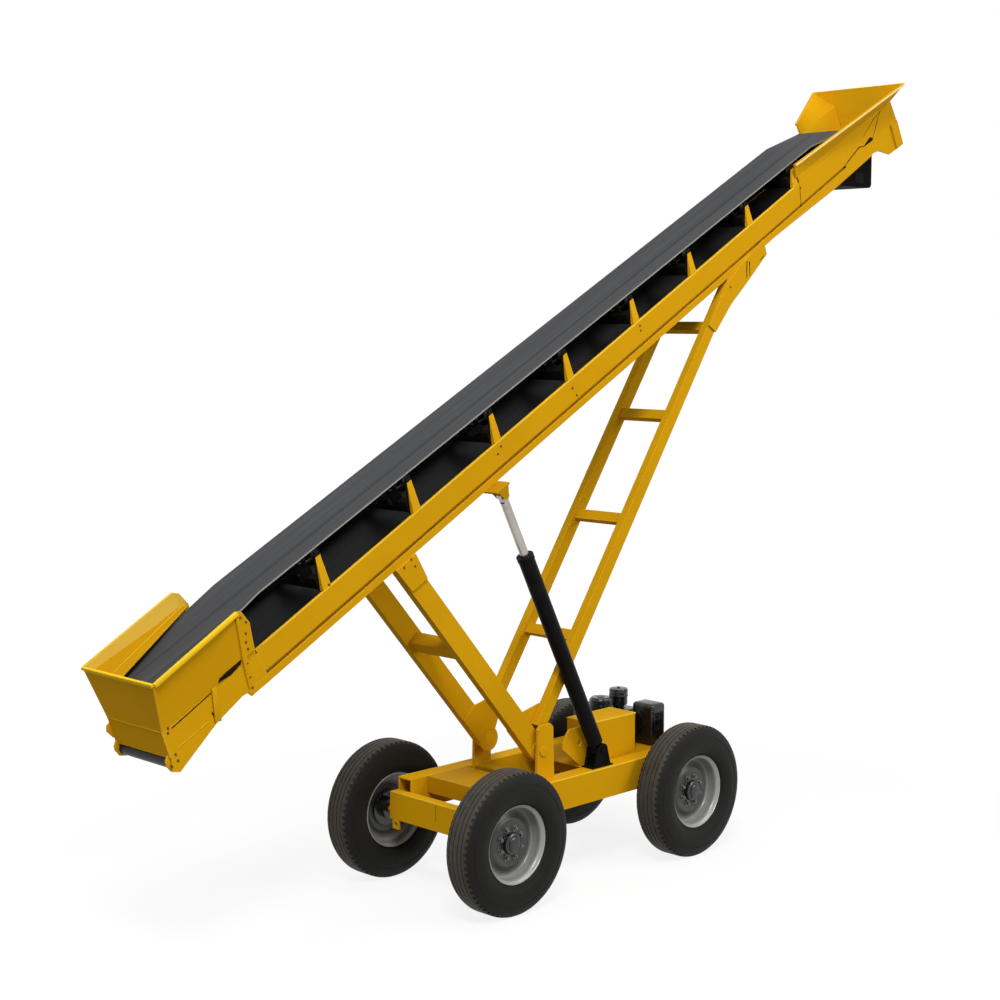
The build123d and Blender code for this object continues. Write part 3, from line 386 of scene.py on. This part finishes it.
def turned(mesh, outline, steps, axis=(0, 1, 0)):
    placed = [(reach, across, 0) if axis[1] else (reach, 0, across) for reach, across in outline]
    rim = [mesh.verts.new(place) for place in placed]
    edges = [mesh.edges.new((rim[i], rim[i + 1])) for i in range(len(rim) - 1)]
    bmesh.ops.spin(mesh, geom=rim + edges, cent=(0, 0, 0), axis=axis, dvec=(0, 0, 0),
                   angle=math.tau, steps=steps, use_merge=True)
    bmesh.ops.remove_doubles(mesh, verts=mesh.verts, dist=0.00002)
    bmesh.ops.recalc_face_normals(mesh, faces=mesh.faces)


def added(mesh, shape, matrix=None):
    if matrix is not None:
        bmesh.ops.transform(shape, verts=shape.verts, matrix=matrix)
    data = bpy.data.meshes.new("loose")
    shape.to_mesh(data)
    shape.free()
    mesh.from_mesh(data)
    bpy.data.meshes.remove(data)


def softBox(low, high, round, segments=2):
    shape = bmesh.new()
    bmesh.ops.create_cube(shape, size=1.0)
    low, high = Vector(low), Vector(high)
    bmesh.ops.scale(shape, verts=shape.verts, vec=high - low)
    bmesh.ops.translate(shape, verts=shape.verts, vec=(low + high) / 2)
    bmesh.ops.bevel(shape, geom=shape.edges[:], offset=round, segments=segments, profile=0.5,
                    affect="EDGES", material=-1)
    return shape


def panel(corners, push):
    shape = bmesh.new()
    face = shape.faces.new([shape.verts.new(corner) for corner in corners])
    made = bmesh.ops.extrude_face_region(shape, geom=[face])["geom"]
    bmesh.ops.translate(shape, verts=[item for item in made if isinstance(item, bmesh.types.BMVert)],
                        vec=push)
    bmesh.ops.recalc_face_normals(shape, faces=shape.faces)
    return shape


def bar(start, finish, wide, high, round):
    along = Vector(finish) - Vector(start)
    shape = softBox((0, -wide / 2, -high / 2), (along.length, wide / 2, high / 2), round)
    turn = along.to_track_quat("X", "Z").to_matrix().to_4x4()
    bmesh.ops.transform(shape, verts=shape.verts, matrix=Matrix.Translation(start) @ turn)
    return shape


def sheet(points, low, high, round=0.0):
    shape = panel([(along, low, above) for along, above in points], (0, high - low, 0))
    if round:
        bmesh.ops.bevel(shape, geom=shape.edges[:], offset=round, segments=2, profile=0.5, affect="EDGES",
                        material=-1)
    return shape


boltRings = (  # sides, low and high as shares of the height, lower and upper reach as shares of the reach
    (18, 0.0, 0.22, 1.45, 1.38),  # washer
    (6, 0.18, 0.92, 1.0, 1.0),  # head
    (6, 0.92, 1.0, 1.0, 0.86),  # chamfer
    (12, 0.9, 1.3, 0.55, 0.46),  # stud
)


def hexBolt(mesh, place, outward, reach, height):
    shape = bmesh.new()
    for segments, low, high, span, top in boltRings:
        ring = bmesh.ops.create_cone(shape, cap_ends=True, segments=segments, radius1=reach * span,
                                     radius2=reach * top, depth=height * (high - low))["verts"]
        bmesh.ops.translate(shape, verts=ring, vec=(0, 0, height * (low + high) / 2))
    turn = Vector((0, 0, 1)).rotation_difference(Vector(outward)).to_matrix().to_4x4()
    added(mesh, shape, Matrix.Translation(place) @ turn)


# Tyres: ribbed road tread with cut shoulders
tyreShape = {"steps": 132, "ribs": (0.046, 0.016), "groove": 0.0075, "depth": 0.011, "tread": 0.4025,
             "cut": 0.004, "shoulder": (0.3885, 0.4005), "shoulderFrom": 0.058, "smooth": 38.0,
             "bead": [(0.2032, 0.0), (0.2032, 0.0540), (0.2085, 0.0605), (0.2160, 0.0645)],
             "wall": [(0.222, 0.068), (0.226, 0.0775), (0.236, 0.086), (0.2365, 0.0885), (0.2415, 0.0890),
                      (0.250, 0.0945), (0.270, 0.1005), (0.292, 0.1030), (0.318, 0.1015), (0.340, 0.0975),
                      (0.3405, 0.0990), (0.3475, 0.0978), (0.348, 0.0958), (0.362, 0.0920), (0.376, 0.0870),
                      (0.3885, 0.0795), (0.3955, 0.0715), (0.400, 0.0625), (0.4020, 0.0555)]}


def tyreOutline():
    tread, edge = [], tyreShape["groove"] / 2
    top, deep = tyreShape["tread"], tyreShape["tread"] - tyreShape["depth"]
    for place in tyreShape["ribs"]:
        tread += [(top, place + edge), (deep, place + edge * 0.5), (deep, place - edge * 0.5),
                  (top, place - edge)]
    half = tyreShape["bead"] + tyreShape["wall"] + tread
    left = [(reach, -across) for reach, across in half[1:]]
    return left + half[1:][::-1] + [left[0]]


def makeTyre(place, centre):
    mesh = bmesh.new()
    turned(mesh, tyreOutline(), tyreShape["steps"])
    shoulder = []
    low, high = tyreShape["shoulder"]
    for face in mesh.faces:
        middle = face.calc_center_median()
        reach = math.hypot(middle.x, middle.z)
        step = math.floor(math.atan2(middle.z, middle.x) / math.tau * tyreShape["steps"])
        if low < reach < high and abs(middle.y) > tyreShape["shoulderFrom"] and step % 2 == 0:
            shoulder.append(face)
    for face in bmesh.ops.extrude_discrete_faces(mesh, faces=shoulder)["faces"]:
        middle = face.calc_center_median()
        inward = Vector((-middle.x, 0, -middle.z)).normalized()
        bmesh.ops.translate(mesh, verts=face.verts, vec=inward * tyreShape["cut"])
    bmesh.ops.translate(mesh, verts=mesh.verts, vec=centre)
    body, finish = "wheel_" + place, tyreRubber(centre)
    piece = newPiece("tyre_" + place + "_tread", mesh, body, finish, tyreShape["smooth"])
    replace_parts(piece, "tyre_" + place)


# Wheels: dished disc in a flanged rim, black hub, nuts
wheelShape = {"steps": 80, "nuts": 8, "nutCircle": 0.084, "nutReach": 0.0120, "nutHeight": 0.017,
              "face": 0.0190,
              "rim": [(0.060, 0.0190), (0.104, 0.0190), (0.116, 0.0200), (0.127, 0.0225), (0.136, 0.0205),
                      (0.143, 0.0140), (0.152, 0.0080), (0.166, 0.0005), (0.180, -0.0045),
                      (0.1890, -0.0050), (0.1935, 0.0005), (0.1950, 0.0100), (0.1953, 0.0240),
                      (0.1968, 0.0285), (0.1968, 0.0420), (0.1985, 0.0530), (0.2030, 0.0610),
                      (0.2085, 0.0655), (0.2135, 0.0685), (0.2165, 0.0715), (0.2180, 0.0742),
                      (0.2193, 0.0748), (0.2200, 0.0735), (0.2198, 0.0712), (0.2160, 0.0655),
                      (0.2085, 0.0617), (0.2040, 0.0575), (0.2027, 0.0530), (0.2027, -0.0560),
                      (0.2040, -0.0620), (0.2085, -0.0665), (0.2160, -0.0685), (0.2198, -0.0712),
                      (0.2200, -0.0735), (0.2180, -0.0748), (0.2095, -0.0705), (0.1990, -0.0600),
                      (0.1965, -0.0400), (0.1960, -0.0200), (0.186, -0.0150), (0.150, -0.0020),
                      (0.140, 0.0060), (0.100, 0.0080), (0.060, 0.0080), (0.060, 0.0190)],
              "hub": [(0.0, 0.0650), (0.020, 0.0648), (0.036, 0.0630), (0.0425, 0.0585), (0.0440, 0.0530),
                      (0.0475, 0.0520), (0.0560, 0.0500), (0.0610, 0.0450), (0.0620, 0.0400),
                      (0.0620, 0.0240), (0.0700, 0.0225), (0.0720, 0.0190), (0.0720, 0.0060),
                      (0.1050, 0.0060), (0.1050, -0.0060), (0.0620, -0.0060), (0.0620, -0.0370),
                      (0.0251, -0.0370), (0.0251, 0.0530), (0.0, 0.0530)]}


def makeWheel(place, centre, outward):
    turn = Matrix.Translation(centre)
    if outward < 0:
        turn = turn @ Matrix.Rotation(math.pi, 4, "Z")
    body = "wheel_" + place
    rim, hub, nuts = bmesh.new(), bmesh.new(), bmesh.new()
    turned(rim, wheelShape["rim"], wheelShape["steps"])
    turned(hub, wheelShape["hub"], wheelShape["steps"] // 2)
    for step in range(wheelShape["nuts"]):
        angle = math.tau * (step + 0.5) / wheelShape["nuts"]
        spot = Vector((math.cos(angle), 0, math.sin(angle))) * wheelShape["nutCircle"]
        spot += Vector((0, wheelShape["face"], 0))
        hexBolt(nuts, spot, (0, 1, 0), wheelShape["nutReach"], wheelShape["nutHeight"])
    for mesh in (rim, hub, nuts):
        bmesh.ops.transform(mesh, verts=mesh.verts, matrix=turn)
    piece = newPiece("wheel_" + place + "_rim", rim, body, wheelPaint(centre))
    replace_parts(piece, body)
    newPiece("wheel_" + place + "_hub", hub, body, hubBlack)
    newPiece("wheel_" + place + "_nuts", nuts, body, nutSteel)


for end in ("front", "rear"):
    for side, outward in (("left", 1), ("right", -1)):
        place = end + "_" + side
        centre = Vector(joints["wheel_" + place + "_spin"]["pos_m"])
        makeTyre(place, centre)
        makeWheel(place, centre, outward)
print("wheels made")

# Bolts on the boom: along, above
boltTable = {
    "web": [(0.545, 0.243), (1.942, 0.221), (1.900, 0.196), (2.601, 0.214), (2.613, 0.160), (3.289, 0.247),
            (3.282, 0.218)],
    "hopper": [(-0.634, 0.064), (-0.638, 0.030), (-0.680, 0.026), (-0.618, 0.181), (-0.607, 0.201)],
    "flange": [(-0.011, 0.430), (0.008, 0.390), (-0.019, 0.340), (-0.038, 0.300), (-0.041, 0.262),
               (-0.078, 0.200), (-0.098, 0.130), (-0.112, 0.075)],
    "arm": [(1.006, 0.037), (1.069, 0.048), (1.076, -0.001), (4.156, 0.051)],
    "head": [(5.121, 0.273)],
}
boltSet = {"reach": 0.0050, "height": 0.0045, "hopperTo": 0.1,
           "proud": {"web": 0.0, "hopper": 0.0, "flange": 0.006, "arm": 0.012, "head": 0.0}}

# Half width of the hopper's walls, which flare upwards and towards the front
flareSet = {"from": 0.200, "rise": 0.270, "rear": 0.250, "front": 0.300, "length": 0.600}


def hopperReach(along, above):
    share = max(0.0, (above - flareSet["from"]) / flareSet["rise"])
    wider = flareSet["front"] - flareSet["rear"]
    lip = flareSet["rear"] + wider * max(0.0, -along) / flareSet["length"]
    return boomSet["side"] + share * (lip - boomSet["side"])


def boomBolts():
    mesh = bmesh.new()
    for side in (-1, 1):
        for name, rows in boltTable.items():
            for along, above in rows:
                out = hopperReach(along, above) if along < boltSet["hopperTo"] else boomSet["side"]
                place = Vector((along, side * (out + boltSet["proud"][name]), above))
                hexBolt(mesh, boomFrame @ place, (0, side, 0), boltSet["reach"], boltSet["height"])
    newPiece("boom_bolts", mesh, "boom", boltSteel)


boomBolts()

# Painted highlights: pale bars along the top edges of the stringers, the rails, the front beam and the tank;
# and a seam in the beam
edgeSet = {"from": 0.050, "to": 5.060, "wide": 0.006, "high": 0.008, "inset": 0.0025, "round": 0.002,
           "seam": ((-0.0285, 0.440), (-0.0255, 0.530)), "seamProud": 0.001, "seamDeep": 0.002,
           "seamRound": 0.0005}


def highlightEdges():
    boom, chassis = bmesh.new(), bmesh.new()
    wide, high, inset = edgeSet["wide"], edgeSet["high"], edgeSet["inset"]
    railLow, railHigh = [Vector(corner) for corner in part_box("rails")]
    beamLow, beamHigh = [Vector(corner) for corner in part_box("front_cross_beam")]
    for way in (-1, 1):
        start, finish = [Vector((place, way * (boomSet["side"] - inset), webTop(place) - inset))
                         for place in (edgeSet["from"], edgeSet["to"])]
        added(boom, bar(start, finish, wide, high, edgeSet["round"]), boomFrame)
        across, above = way * (railHigh.y - inset), railHigh.z - inset
        added(chassis, bar((railLow.x, across, above), (railHigh.x, across, above), wide, high,
                           edgeSet["round"]))
    place, above = beamLow.x + inset, beamHigh.z - inset
    added(chassis, bar((place, beamLow.y, above), (place, beamHigh.y, above), wide, high, edgeSet["round"]))
    tankLow, tankHigh = [Vector(corner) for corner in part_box("hydraulic_tank")]
    above = tankHigh.z - inset
    for start, finish in (((tankLow.x, tankLow.y + inset), (tankHigh.x, tankLow.y + inset)),
                          ((tankHigh.x - inset, tankLow.y), (tankHigh.x - inset, tankHigh.y)),
                          ((tankLow.x, tankHigh.y - inset), (tankHigh.x, tankHigh.y - inset))):
        added(chassis, bar((*start, above), (*finish, above), wide, high, edgeSet["round"]))
    low, high = edgeSet["seam"]
    seam = bmesh.new()
    added(seam, softBox((beamLow.x - edgeSet["seamProud"], *low), (beamLow.x + edgeSet["seamDeep"], *high),
                        edgeSet["seamRound"], 1))
    newPiece("beam_seam", seam, "chassis", shadowGrime)
    newPiece("stringer_edge_highlights", boom, "boom", highlightEdgePaint)
    newPiece("chassis_edge_highlights", chassis, "chassis", highlightEdgePaint)


highlightEdges()

# Hopper: flared walls with a rolled rim, skirts, flange strips, ribs and folds
hopperSet = {"crease": (-0.640, 0.200), "lip": (-0.600, 0.472), "foot": (-0.012, 0.200),
             "shoulder": (-0.018, 0.470), "corner": (0.012, 0.445), "ear": (0.030, 0.372), "wall": 0.008,
             "farRise": 0.046, "rimFrom": (-0.016, 0.2535, 0.458), "rimTo": (-0.602, 0.3015, 0.461),
             "rimWide": 0.017, "rimHigh": 0.026, "rimRound": 0.006, "rimLean": 0.07,
             "skirtFar": [(-0.606, 0.2818, 0.431), (0.0, 0.2393, 0.4295), (0.0, 0.2330, 0.4330),
                          (-0.608, 0.136, 0.420)],
             "skirtFold": [(-0.608, 0.136, 0.420), (0.0, 0.2330, 0.4330), (0.0, 0.196, 0.432),
                           (-0.610, 0.070, 0.403)],
             "skirtNear": [(-0.609, -0.2720, 0.416), (0.0, -0.2393, 0.4295), (0.0, -0.200, 0.430),
                           (-0.611, -0.190, 0.400)],
             "strip": [(-0.037, 0.439), (-0.001, 0.462), (0.024, 0.372), (-0.014, 0.233), (-0.064, 0.232),
                       (-0.115, 0.042), (-0.137, 0.049), (-0.090, 0.246), (-0.064, 0.334)],
             "stripProud": 0.006, "stripSink": 0.004,
             "nose": [(-0.132, 0.036), (0.004, 0.036), (0.0, 0.070), (-0.150, 0.075)], "noseProud": 0.0008,
             "rib": [(-0.288, 0.210), (-0.312, 0.216), (-0.376, 0.060), (-0.342, 0.044)], "ribProud": 0.010,
             "ribRound": 0.003,
             "hook": [(-0.368, 0.118), (-0.361, 0.107), (-0.359, 0.080), (-0.368, 0.080)],
             "slot": [(-0.265, 0.217), (-0.182, 0.206), (-0.111, 0.219), (-0.097, 0.236), (-0.197, 0.236),
                      (-0.249, 0.232)],
             "seam": [(-0.590, 0.186), (-0.324, 0.196), (-0.324, 0.201), (-0.590, 0.191)],
             "seamProud": 0.0015, "slotProud": 0.003, "seamSink": 0.004,
             "roundEar": [(-0.700, 0.040), (-0.694, 0.064), (-0.674, 0.080), (-0.640, 0.080), (-0.640, 0.0),
                          (-0.690, 0.0)],
             "farEar": [(-0.688, 0.150), (-0.672, 0.174), (-0.645, 0.180), (-0.640, 0.085),
                        (-0.672, 0.099)], "earAcross": (0.2145, 0.2235), "earRound": 0.001,
             "skirtThick": 0.006, "fold": ((-0.612, 0.082), (-0.402, 0.083)),
             "foldBar": (0.003, 0.006, 0.001), "skirtBead": (0.006, 0.006, 0.0025),
             "creaseBar": (0.004, 0.010, 0.0015), "creaseLift": 0.003}


def onHopper(points, way, proud=0.0):
    return [(along, way * (hopperReach(along, above) + proud), above) for along, above in points]


def hopperDetail():
    side, wall = boomSet["side"], hopperSet["wall"]
    walls, skirts, strips, ribs, seams = [bmesh.new() for count in range(5)]
    for way in (-1, 1):
        lip = (hopperSet["lip"][0], way * flareSet["front"], hopperSet["lip"][1])
        rise = hopperSet["farRise"] if way > 0 else 0.0
        ear, corner, shoulder = [(hopperSet[name][0], hopperSet[name][1] + rise)
                                 for name in ("ear", "corner", "shoulder")]
        front = onHopper([hopperSet["crease"], hopperSet["foot"], shoulder], way) + [lip]
        added(walls, panel(front, (0, -way * wall, 0)))
        added(walls, panel(onHopper([hopperSet["foot"], ear, corner, shoulder], way), (0, -way * wall, 0)))
        start, finish = [Vector((along, way * across, above))
                         for along, across, above in (hopperSet["rimFrom"], hopperSet["rimTo"])]
        start += Vector((0, way * rise * hopperSet["rimLean"], rise))
        added(walls, bar(start, finish, hopperSet["rimWide"], hopperSet["rimHigh"], hopperSet["rimRound"]))
        proud = hopperSet["stripProud"]
        push = (0, -way * (proud + hopperSet["stripSink"]), 0)
        added(strips, panel(onHopper(hopperSet["strip"], way, proud), push))
        outer, inner = way * side, way * (side - wall)
        added(strips, sheet(hopperSet["nose"], *sorted((outer + way * hopperSet["noseProud"], inner))))
        ribOut = way * (side + hopperSet["ribProud"])
        added(ribs, sheet(hopperSet["rib"], *sorted((outer, ribOut)), hopperSet["ribRound"]))
        earLow, earHigh = sorted(way * across for across in hopperSet["earAcross"])
        added(ribs, sheet(hopperSet["roundEar"], earLow, earHigh, hopperSet["earRound"]))
        start, finish = [(along, outer, above) for along, above in hopperSet["fold"]]
        added(ribs, bar(start, finish, *hopperSet["foldBar"]))
        for name in ("seam", "slot", "hook"):
            lift = hopperSet["slotProud"] if name == "slot" else hopperSet["seamProud"]
            added(seams, panel(onHopper(hopperSet[name], way, lift), (0, -way * hopperSet["seamSink"], 0)))
    for name in ("skirtFar", "skirtFold", "skirtNear"):
        added(skirts, panel(hopperSet[name], (0, 0, -hopperSet["skirtThick"])))
    added(ribs, bar(*hopperSet["skirtFold"][:2], *hopperSet["skirtBead"]))
    added(ribs, sheet(hopperSet["farEar"], side - wall, side, hopperSet["earRound"]))
    along, above = hopperSet["crease"][0] - wall, hopperSet["crease"][1] + hopperSet["creaseLift"]
    added(ribs, bar((along, -side, above), (along, side, above), *hopperSet["creaseBar"]))
    for mesh in (walls, skirts, strips, ribs, seams):
        bmesh.ops.transform(mesh, verts=mesh.verts, matrix=boomFrame)
    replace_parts(newPiece("hopper_walls_rimmed", walls, "boom", hopperPaint), "hopper_walls")
    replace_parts(newPiece("hopper_skirts_folded", skirts, "boom", shadedAmberPaint), "hopper_skirts")
    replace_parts(newPiece("hopper_flange_strips", strips, "boom", amberPaint),
                "hopper_flanges")
    newPiece("hopper_ribs", ribs, "boom", amberPaint)
    newPiece("hopper_seams", seams, "boom", shadowGrime)


hopperDetail()

# Head: lap seams between the side plates and the stringers, dark sheets of painted shade for the opening and
# the folds, and the lower lip
headSet = {"laps": [[(5.0735, 0.166), (5.0765, 0.166), (5.1225, 0.290), (5.1195, 0.290)],
                    [(5.660, 0.187), (5.850, 0.222), (5.905, 0.210), (5.905, 0.215), (5.852, 0.229),
                     (5.660, 0.192)]],
           "shadedOpening": [(5.897, 0.205), (6.020, 0.200), (6.038, 0.210), (6.004, 0.232), (5.955, 0.221)],
           "folds": [[(5.929, 0.268), (6.101, 0.322), (6.290, 0.349), (6.101, 0.326)],
                     [(6.036, 0.212), (6.106, 0.270), (6.198, 0.346), (6.102, 0.274)]],
           "lip": [(4.750, webLow(4.750)), (5.117, 0.106), (5.455, 0.099), (5.766, 0.105), (5.972, 0.110),
                   (5.990, 0.119), (5.660, 0.131)],
           "slits": [[(4.376, 0.118), (4.329, 0.026), (4.335, 0.023), (4.384, 0.115)],
                     [(4.400, 0.106), (4.364, 0.023), (4.370, 0.020), (4.408, 0.103)],
                     [(4.555, 0.0690), (4.505, 0.0610), (4.505, 0.0570), (4.557, 0.0650)]],
           "slitProud": 0.0128, "proud": 0.0015, "sink": 0.002, "lipProud": 0.0008, "lipThick": 0.006,
           "rimFrom": (5.114, -0.2500, 0.434), "rimTo": (6.332, -0.3735, 0.4585),
           "rimBar": (0.015, 0.015, 0.005)}


def headDetail():
    side, proud = boomSet["side"], headSet["proud"]
    seams, lips = bmesh.new(), bmesh.new()
    for way in (-1, 1):
        for points in headSet["laps"] + headSet["folds"] + [headSet["shadedOpening"]]:
            low, high = sorted((way * (side + proud), way * (side - headSet["sink"])))
            added(seams, sheet(points, low, high), boomFrame)
        for points in headSet["slits"]:
            low, high = sorted((way * (side + headSet["slitProud"]), way * side))
            added(seams, sheet(points, low, high), boomFrame)
        low, high = sorted((way * (side + headSet["lipProud"]), way * (side - headSet["lipThick"])))
        added(lips, sheet(headSet["lip"], low, high), boomFrame)
    newPiece("head_seams", seams, "boom", shadowGrime)
    newPiece("head_lips", lips, "boom", amberPaint)
    # a pale bar along the hood's rim, its colour a painted highlight
    rims = bar(headSet["rimFrom"], headSet["rimTo"], *headSet["rimBar"])
    bmesh.ops.transform(rims, verts=rims.verts, matrix=boomFrame)
    newPiece("hood_rim_highlight", rims, "boom", highlightBeadPaint)


headDetail()
print("boom detail made")

# Drive unit: a thin cover on each side
driveSet = {"back": 0.105, "proud": 0.003, "inset": 0.100, "foot": 0.03, "top": 0.16, "round": 0.001}


def driveCovers():
    low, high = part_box("drive_unit")
    mesh = bmesh.new()
    front = high[0] - driveSet["inset"]
    for side in (low[1] - driveSet["proud"], high[1]):
        added(mesh, softBox((front - driveSet["back"], side, low[2] + driveSet["foot"]),
                            (front, side + driveSet["proud"], high[2] - driveSet["top"]),
                            driveSet["round"], 1))
    newPiece("drive_covers", mesh, "boom", coverBlack)


driveCovers()

# Power pack: ribbed drum, filter can and finned cooler, with shapes as shares of reach and rise
packSet = {"steps": 40, "drumRibs": 6, "drumFoot": 0.96, "ribFrom": 0.04, "ribSpan": 0.8,
           "rib": [(0.93, 0.0), (1.0, 0.25), (1.0, 0.6), (0.93, 0.85)],
           "drumTop": [(0.90, 0.88), (0.78, 0.95), (0.35, 0.955), (0.30, 1.0), (0.0, 1.0)],
           "can": [(0.0, 0.0), (0.62, 0.0), (0.64, 0.10), (0.90, 0.14), (0.93, 0.20), (0.93, 0.52),
                   (1.0, 0.55), (1.0, 0.60), (0.95, 0.63), (0.97, 0.84), (0.90, 0.92), (0.30, 0.945),
                   (0.16, 0.95), (0.13, 1.0), (0.0, 1.0)], "coolerRound": 0.022, "fins": 9,
           "finMargin": 0.05, "finStart": 0.028, "finShare": 0.45, "finDeep": 0.010, "finFoot": 0.03,
           "finTop": 0.05, "finRound": 0.002, "finProud": 0.004}


def uprightCan(node, name, outlineOf):
    low, high = [Vector(corner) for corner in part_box(node)]
    middle, reach, rise = (low + high) / 2, (high.x - low.x) / 2, high.z - low.z
    can = bmesh.new()
    turned(can, outlineOf(reach, rise), packSet["steps"], (0, 0, 1))
    bmesh.ops.translate(can, verts=can.verts, vec=(middle.x, middle.y, low.z))
    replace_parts(newPiece(name, can, "chassis", engineBlack), node)


def drumOutline(reach, rise):
    outline = [(0.0, 0.0), (reach * packSet["drumFoot"], 0.0)]
    ribs = packSet["drumRibs"]
    for step in range(ribs):
        base = rise * (packSet["ribFrom"] + packSet["ribSpan"] * step / ribs)
        span = rise * packSet["ribSpan"] / ribs
        outline += [(reach * out, base + span * up) for out, up in packSet["rib"]]
    return outline + [(reach * out, rise * up) for out, up in packSet["drumTop"]]


def canOutline(reach, rise):
    return [(reach * out, rise * up) for out, up in packSet["can"]]


def powerPack():
    uprightCan("engine_drum", "engine_drum_ribbed", drumOutline)
    uprightCan("air_filter", "air_filter_can", canOutline)
    low, high = [Vector(corner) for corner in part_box("oil_cooler")]
    cooler = softBox(low, high, packSet["coolerRound"], 4)
    step = (high.x - low.x - packSet["finMargin"]) / packSet["fins"]
    for fin in range(packSet["fins"]):
        start = low.x + packSet["finStart"] + fin * step
        added(cooler, softBox((start, low.y, low.z + packSet["finFoot"]),
                              (start + step * packSet["finShare"], low.y + packSet["finDeep"],
                               high.z - packSet["finTop"]),
                              packSet["finRound"], 1), Matrix.Translation((0, -packSet["finProud"], 0)))
    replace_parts(newPiece("oil_cooler_finned", cooler, "chassis", engineBlack), "oil_cooler")


powerPack()
print("power pack made")

# Floor, light and backdrop
stageSet = {"floor": 0.25, "near": 0.40, "glow": 2.13, "far": 0.49, "fadeFrom": 3.0, "fadeTo": 7.0,
            "world": 0.42, "spread": 60.0}


def paleFloor():
    finish = Finish("paleFloor", (stageSet["floor"],) * 3, 0.9, specular=0.0)
    rays = finish.node("ShaderNodeLightPath")
    seen = finish.wire(rays.outputs["Is Camera Ray"]).most(finish.wire(rays.outputs["Is Glossy Ray"]))
    away = (finish.axis("X") ** 2 + finish.axis("Y") ** 2) ** 0.5
    faded = away.ramp(stageSet["fadeFrom"], stageSet["fadeTo"])
    share = seen * (faded * (1 - stageSet["near"]) + stageSet["near"])
    pale = finish.mix(faded, (1.0, 1.0, 1.0), (stageSet["far"],) * 3)
    glow = finish.node("ShaderNodeEmission", None, {"Color": pale, "Strength": stageSet["glow"]})
    both = finish.node("ShaderNodeMixShader", None,
                       {0: share, 1: finish.shader.outputs[0], 2: glow.outputs[0]})
    finish.join(finish.tree.nodes["Material Output"].inputs[0], both.outputs[0])
    return finish.material


floorMesh = bmesh.new()
bmesh.ops.create_grid(floorMesh, x_segments=1, y_segments=1, size=stageSet["spread"])
floorData = bpy.data.meshes.new("studioFloor")
floorMesh.to_mesh(floorData)
floorMesh.free()
floor = bpy.data.objects.new("studioFloor", floorData)
bpy.context.scene.collection.objects.link(floor)
floorData.materials.append(paleFloor())

world = bpy.data.worlds.new("studioSky")
bpy.context.scene.world = world
world.use_nodes = True
sky = world.node_tree
rays = sky.nodes.new("ShaderNodeLightPath")
seen = sky.nodes.new("ShaderNodeMath")
seen.operation = "MAXIMUM"
sky.links.new(rays.outputs["Is Camera Ray"], seen.inputs[0])
sky.links.new(rays.outputs["Is Glossy Ray"], seen.inputs[1])
level = sky.nodes.new("ShaderNodeMapRange")
sky.links.new(seen.outputs[0], level.inputs[0])
level.inputs[3].default_value = stageSet["world"]
sky.links.new(level.outputs[0], sky.nodes["Background"].inputs[1])
sky.nodes["Background"].inputs[0].default_value = (1, 1, 1, 1)

lampTable = (  # name, place, aim, size, watts
    ("keyLamp", (-8.0, -7.0, 13.0), (0.0, 0.0, 2.0), 4.0, 1386.0),
    ("fillLamp", (5.0, -11.0, 8.0), (0.5, 0.0, 2.0), 6.0, 576.0),
    ("topLamp", (-1.5, 1.0, 12.0), (0.0, 0.0, 2.0), 5.0, 226.0),
)
for name, place, aim, size, watts in lampTable:
    lamp = bpy.data.lights.new(name, "AREA")
    lamp.size = size
    lamp.energy = watts
    holder = bpy.data.objects.new(name, lamp)
    bpy.context.scene.collection.objects.link(holder)
    holder.location = place
    holder.rotation_euler = (Vector(aim) - Vector(place)).to_track_quat("-Z", "Y").to_euler()
print("stage set")
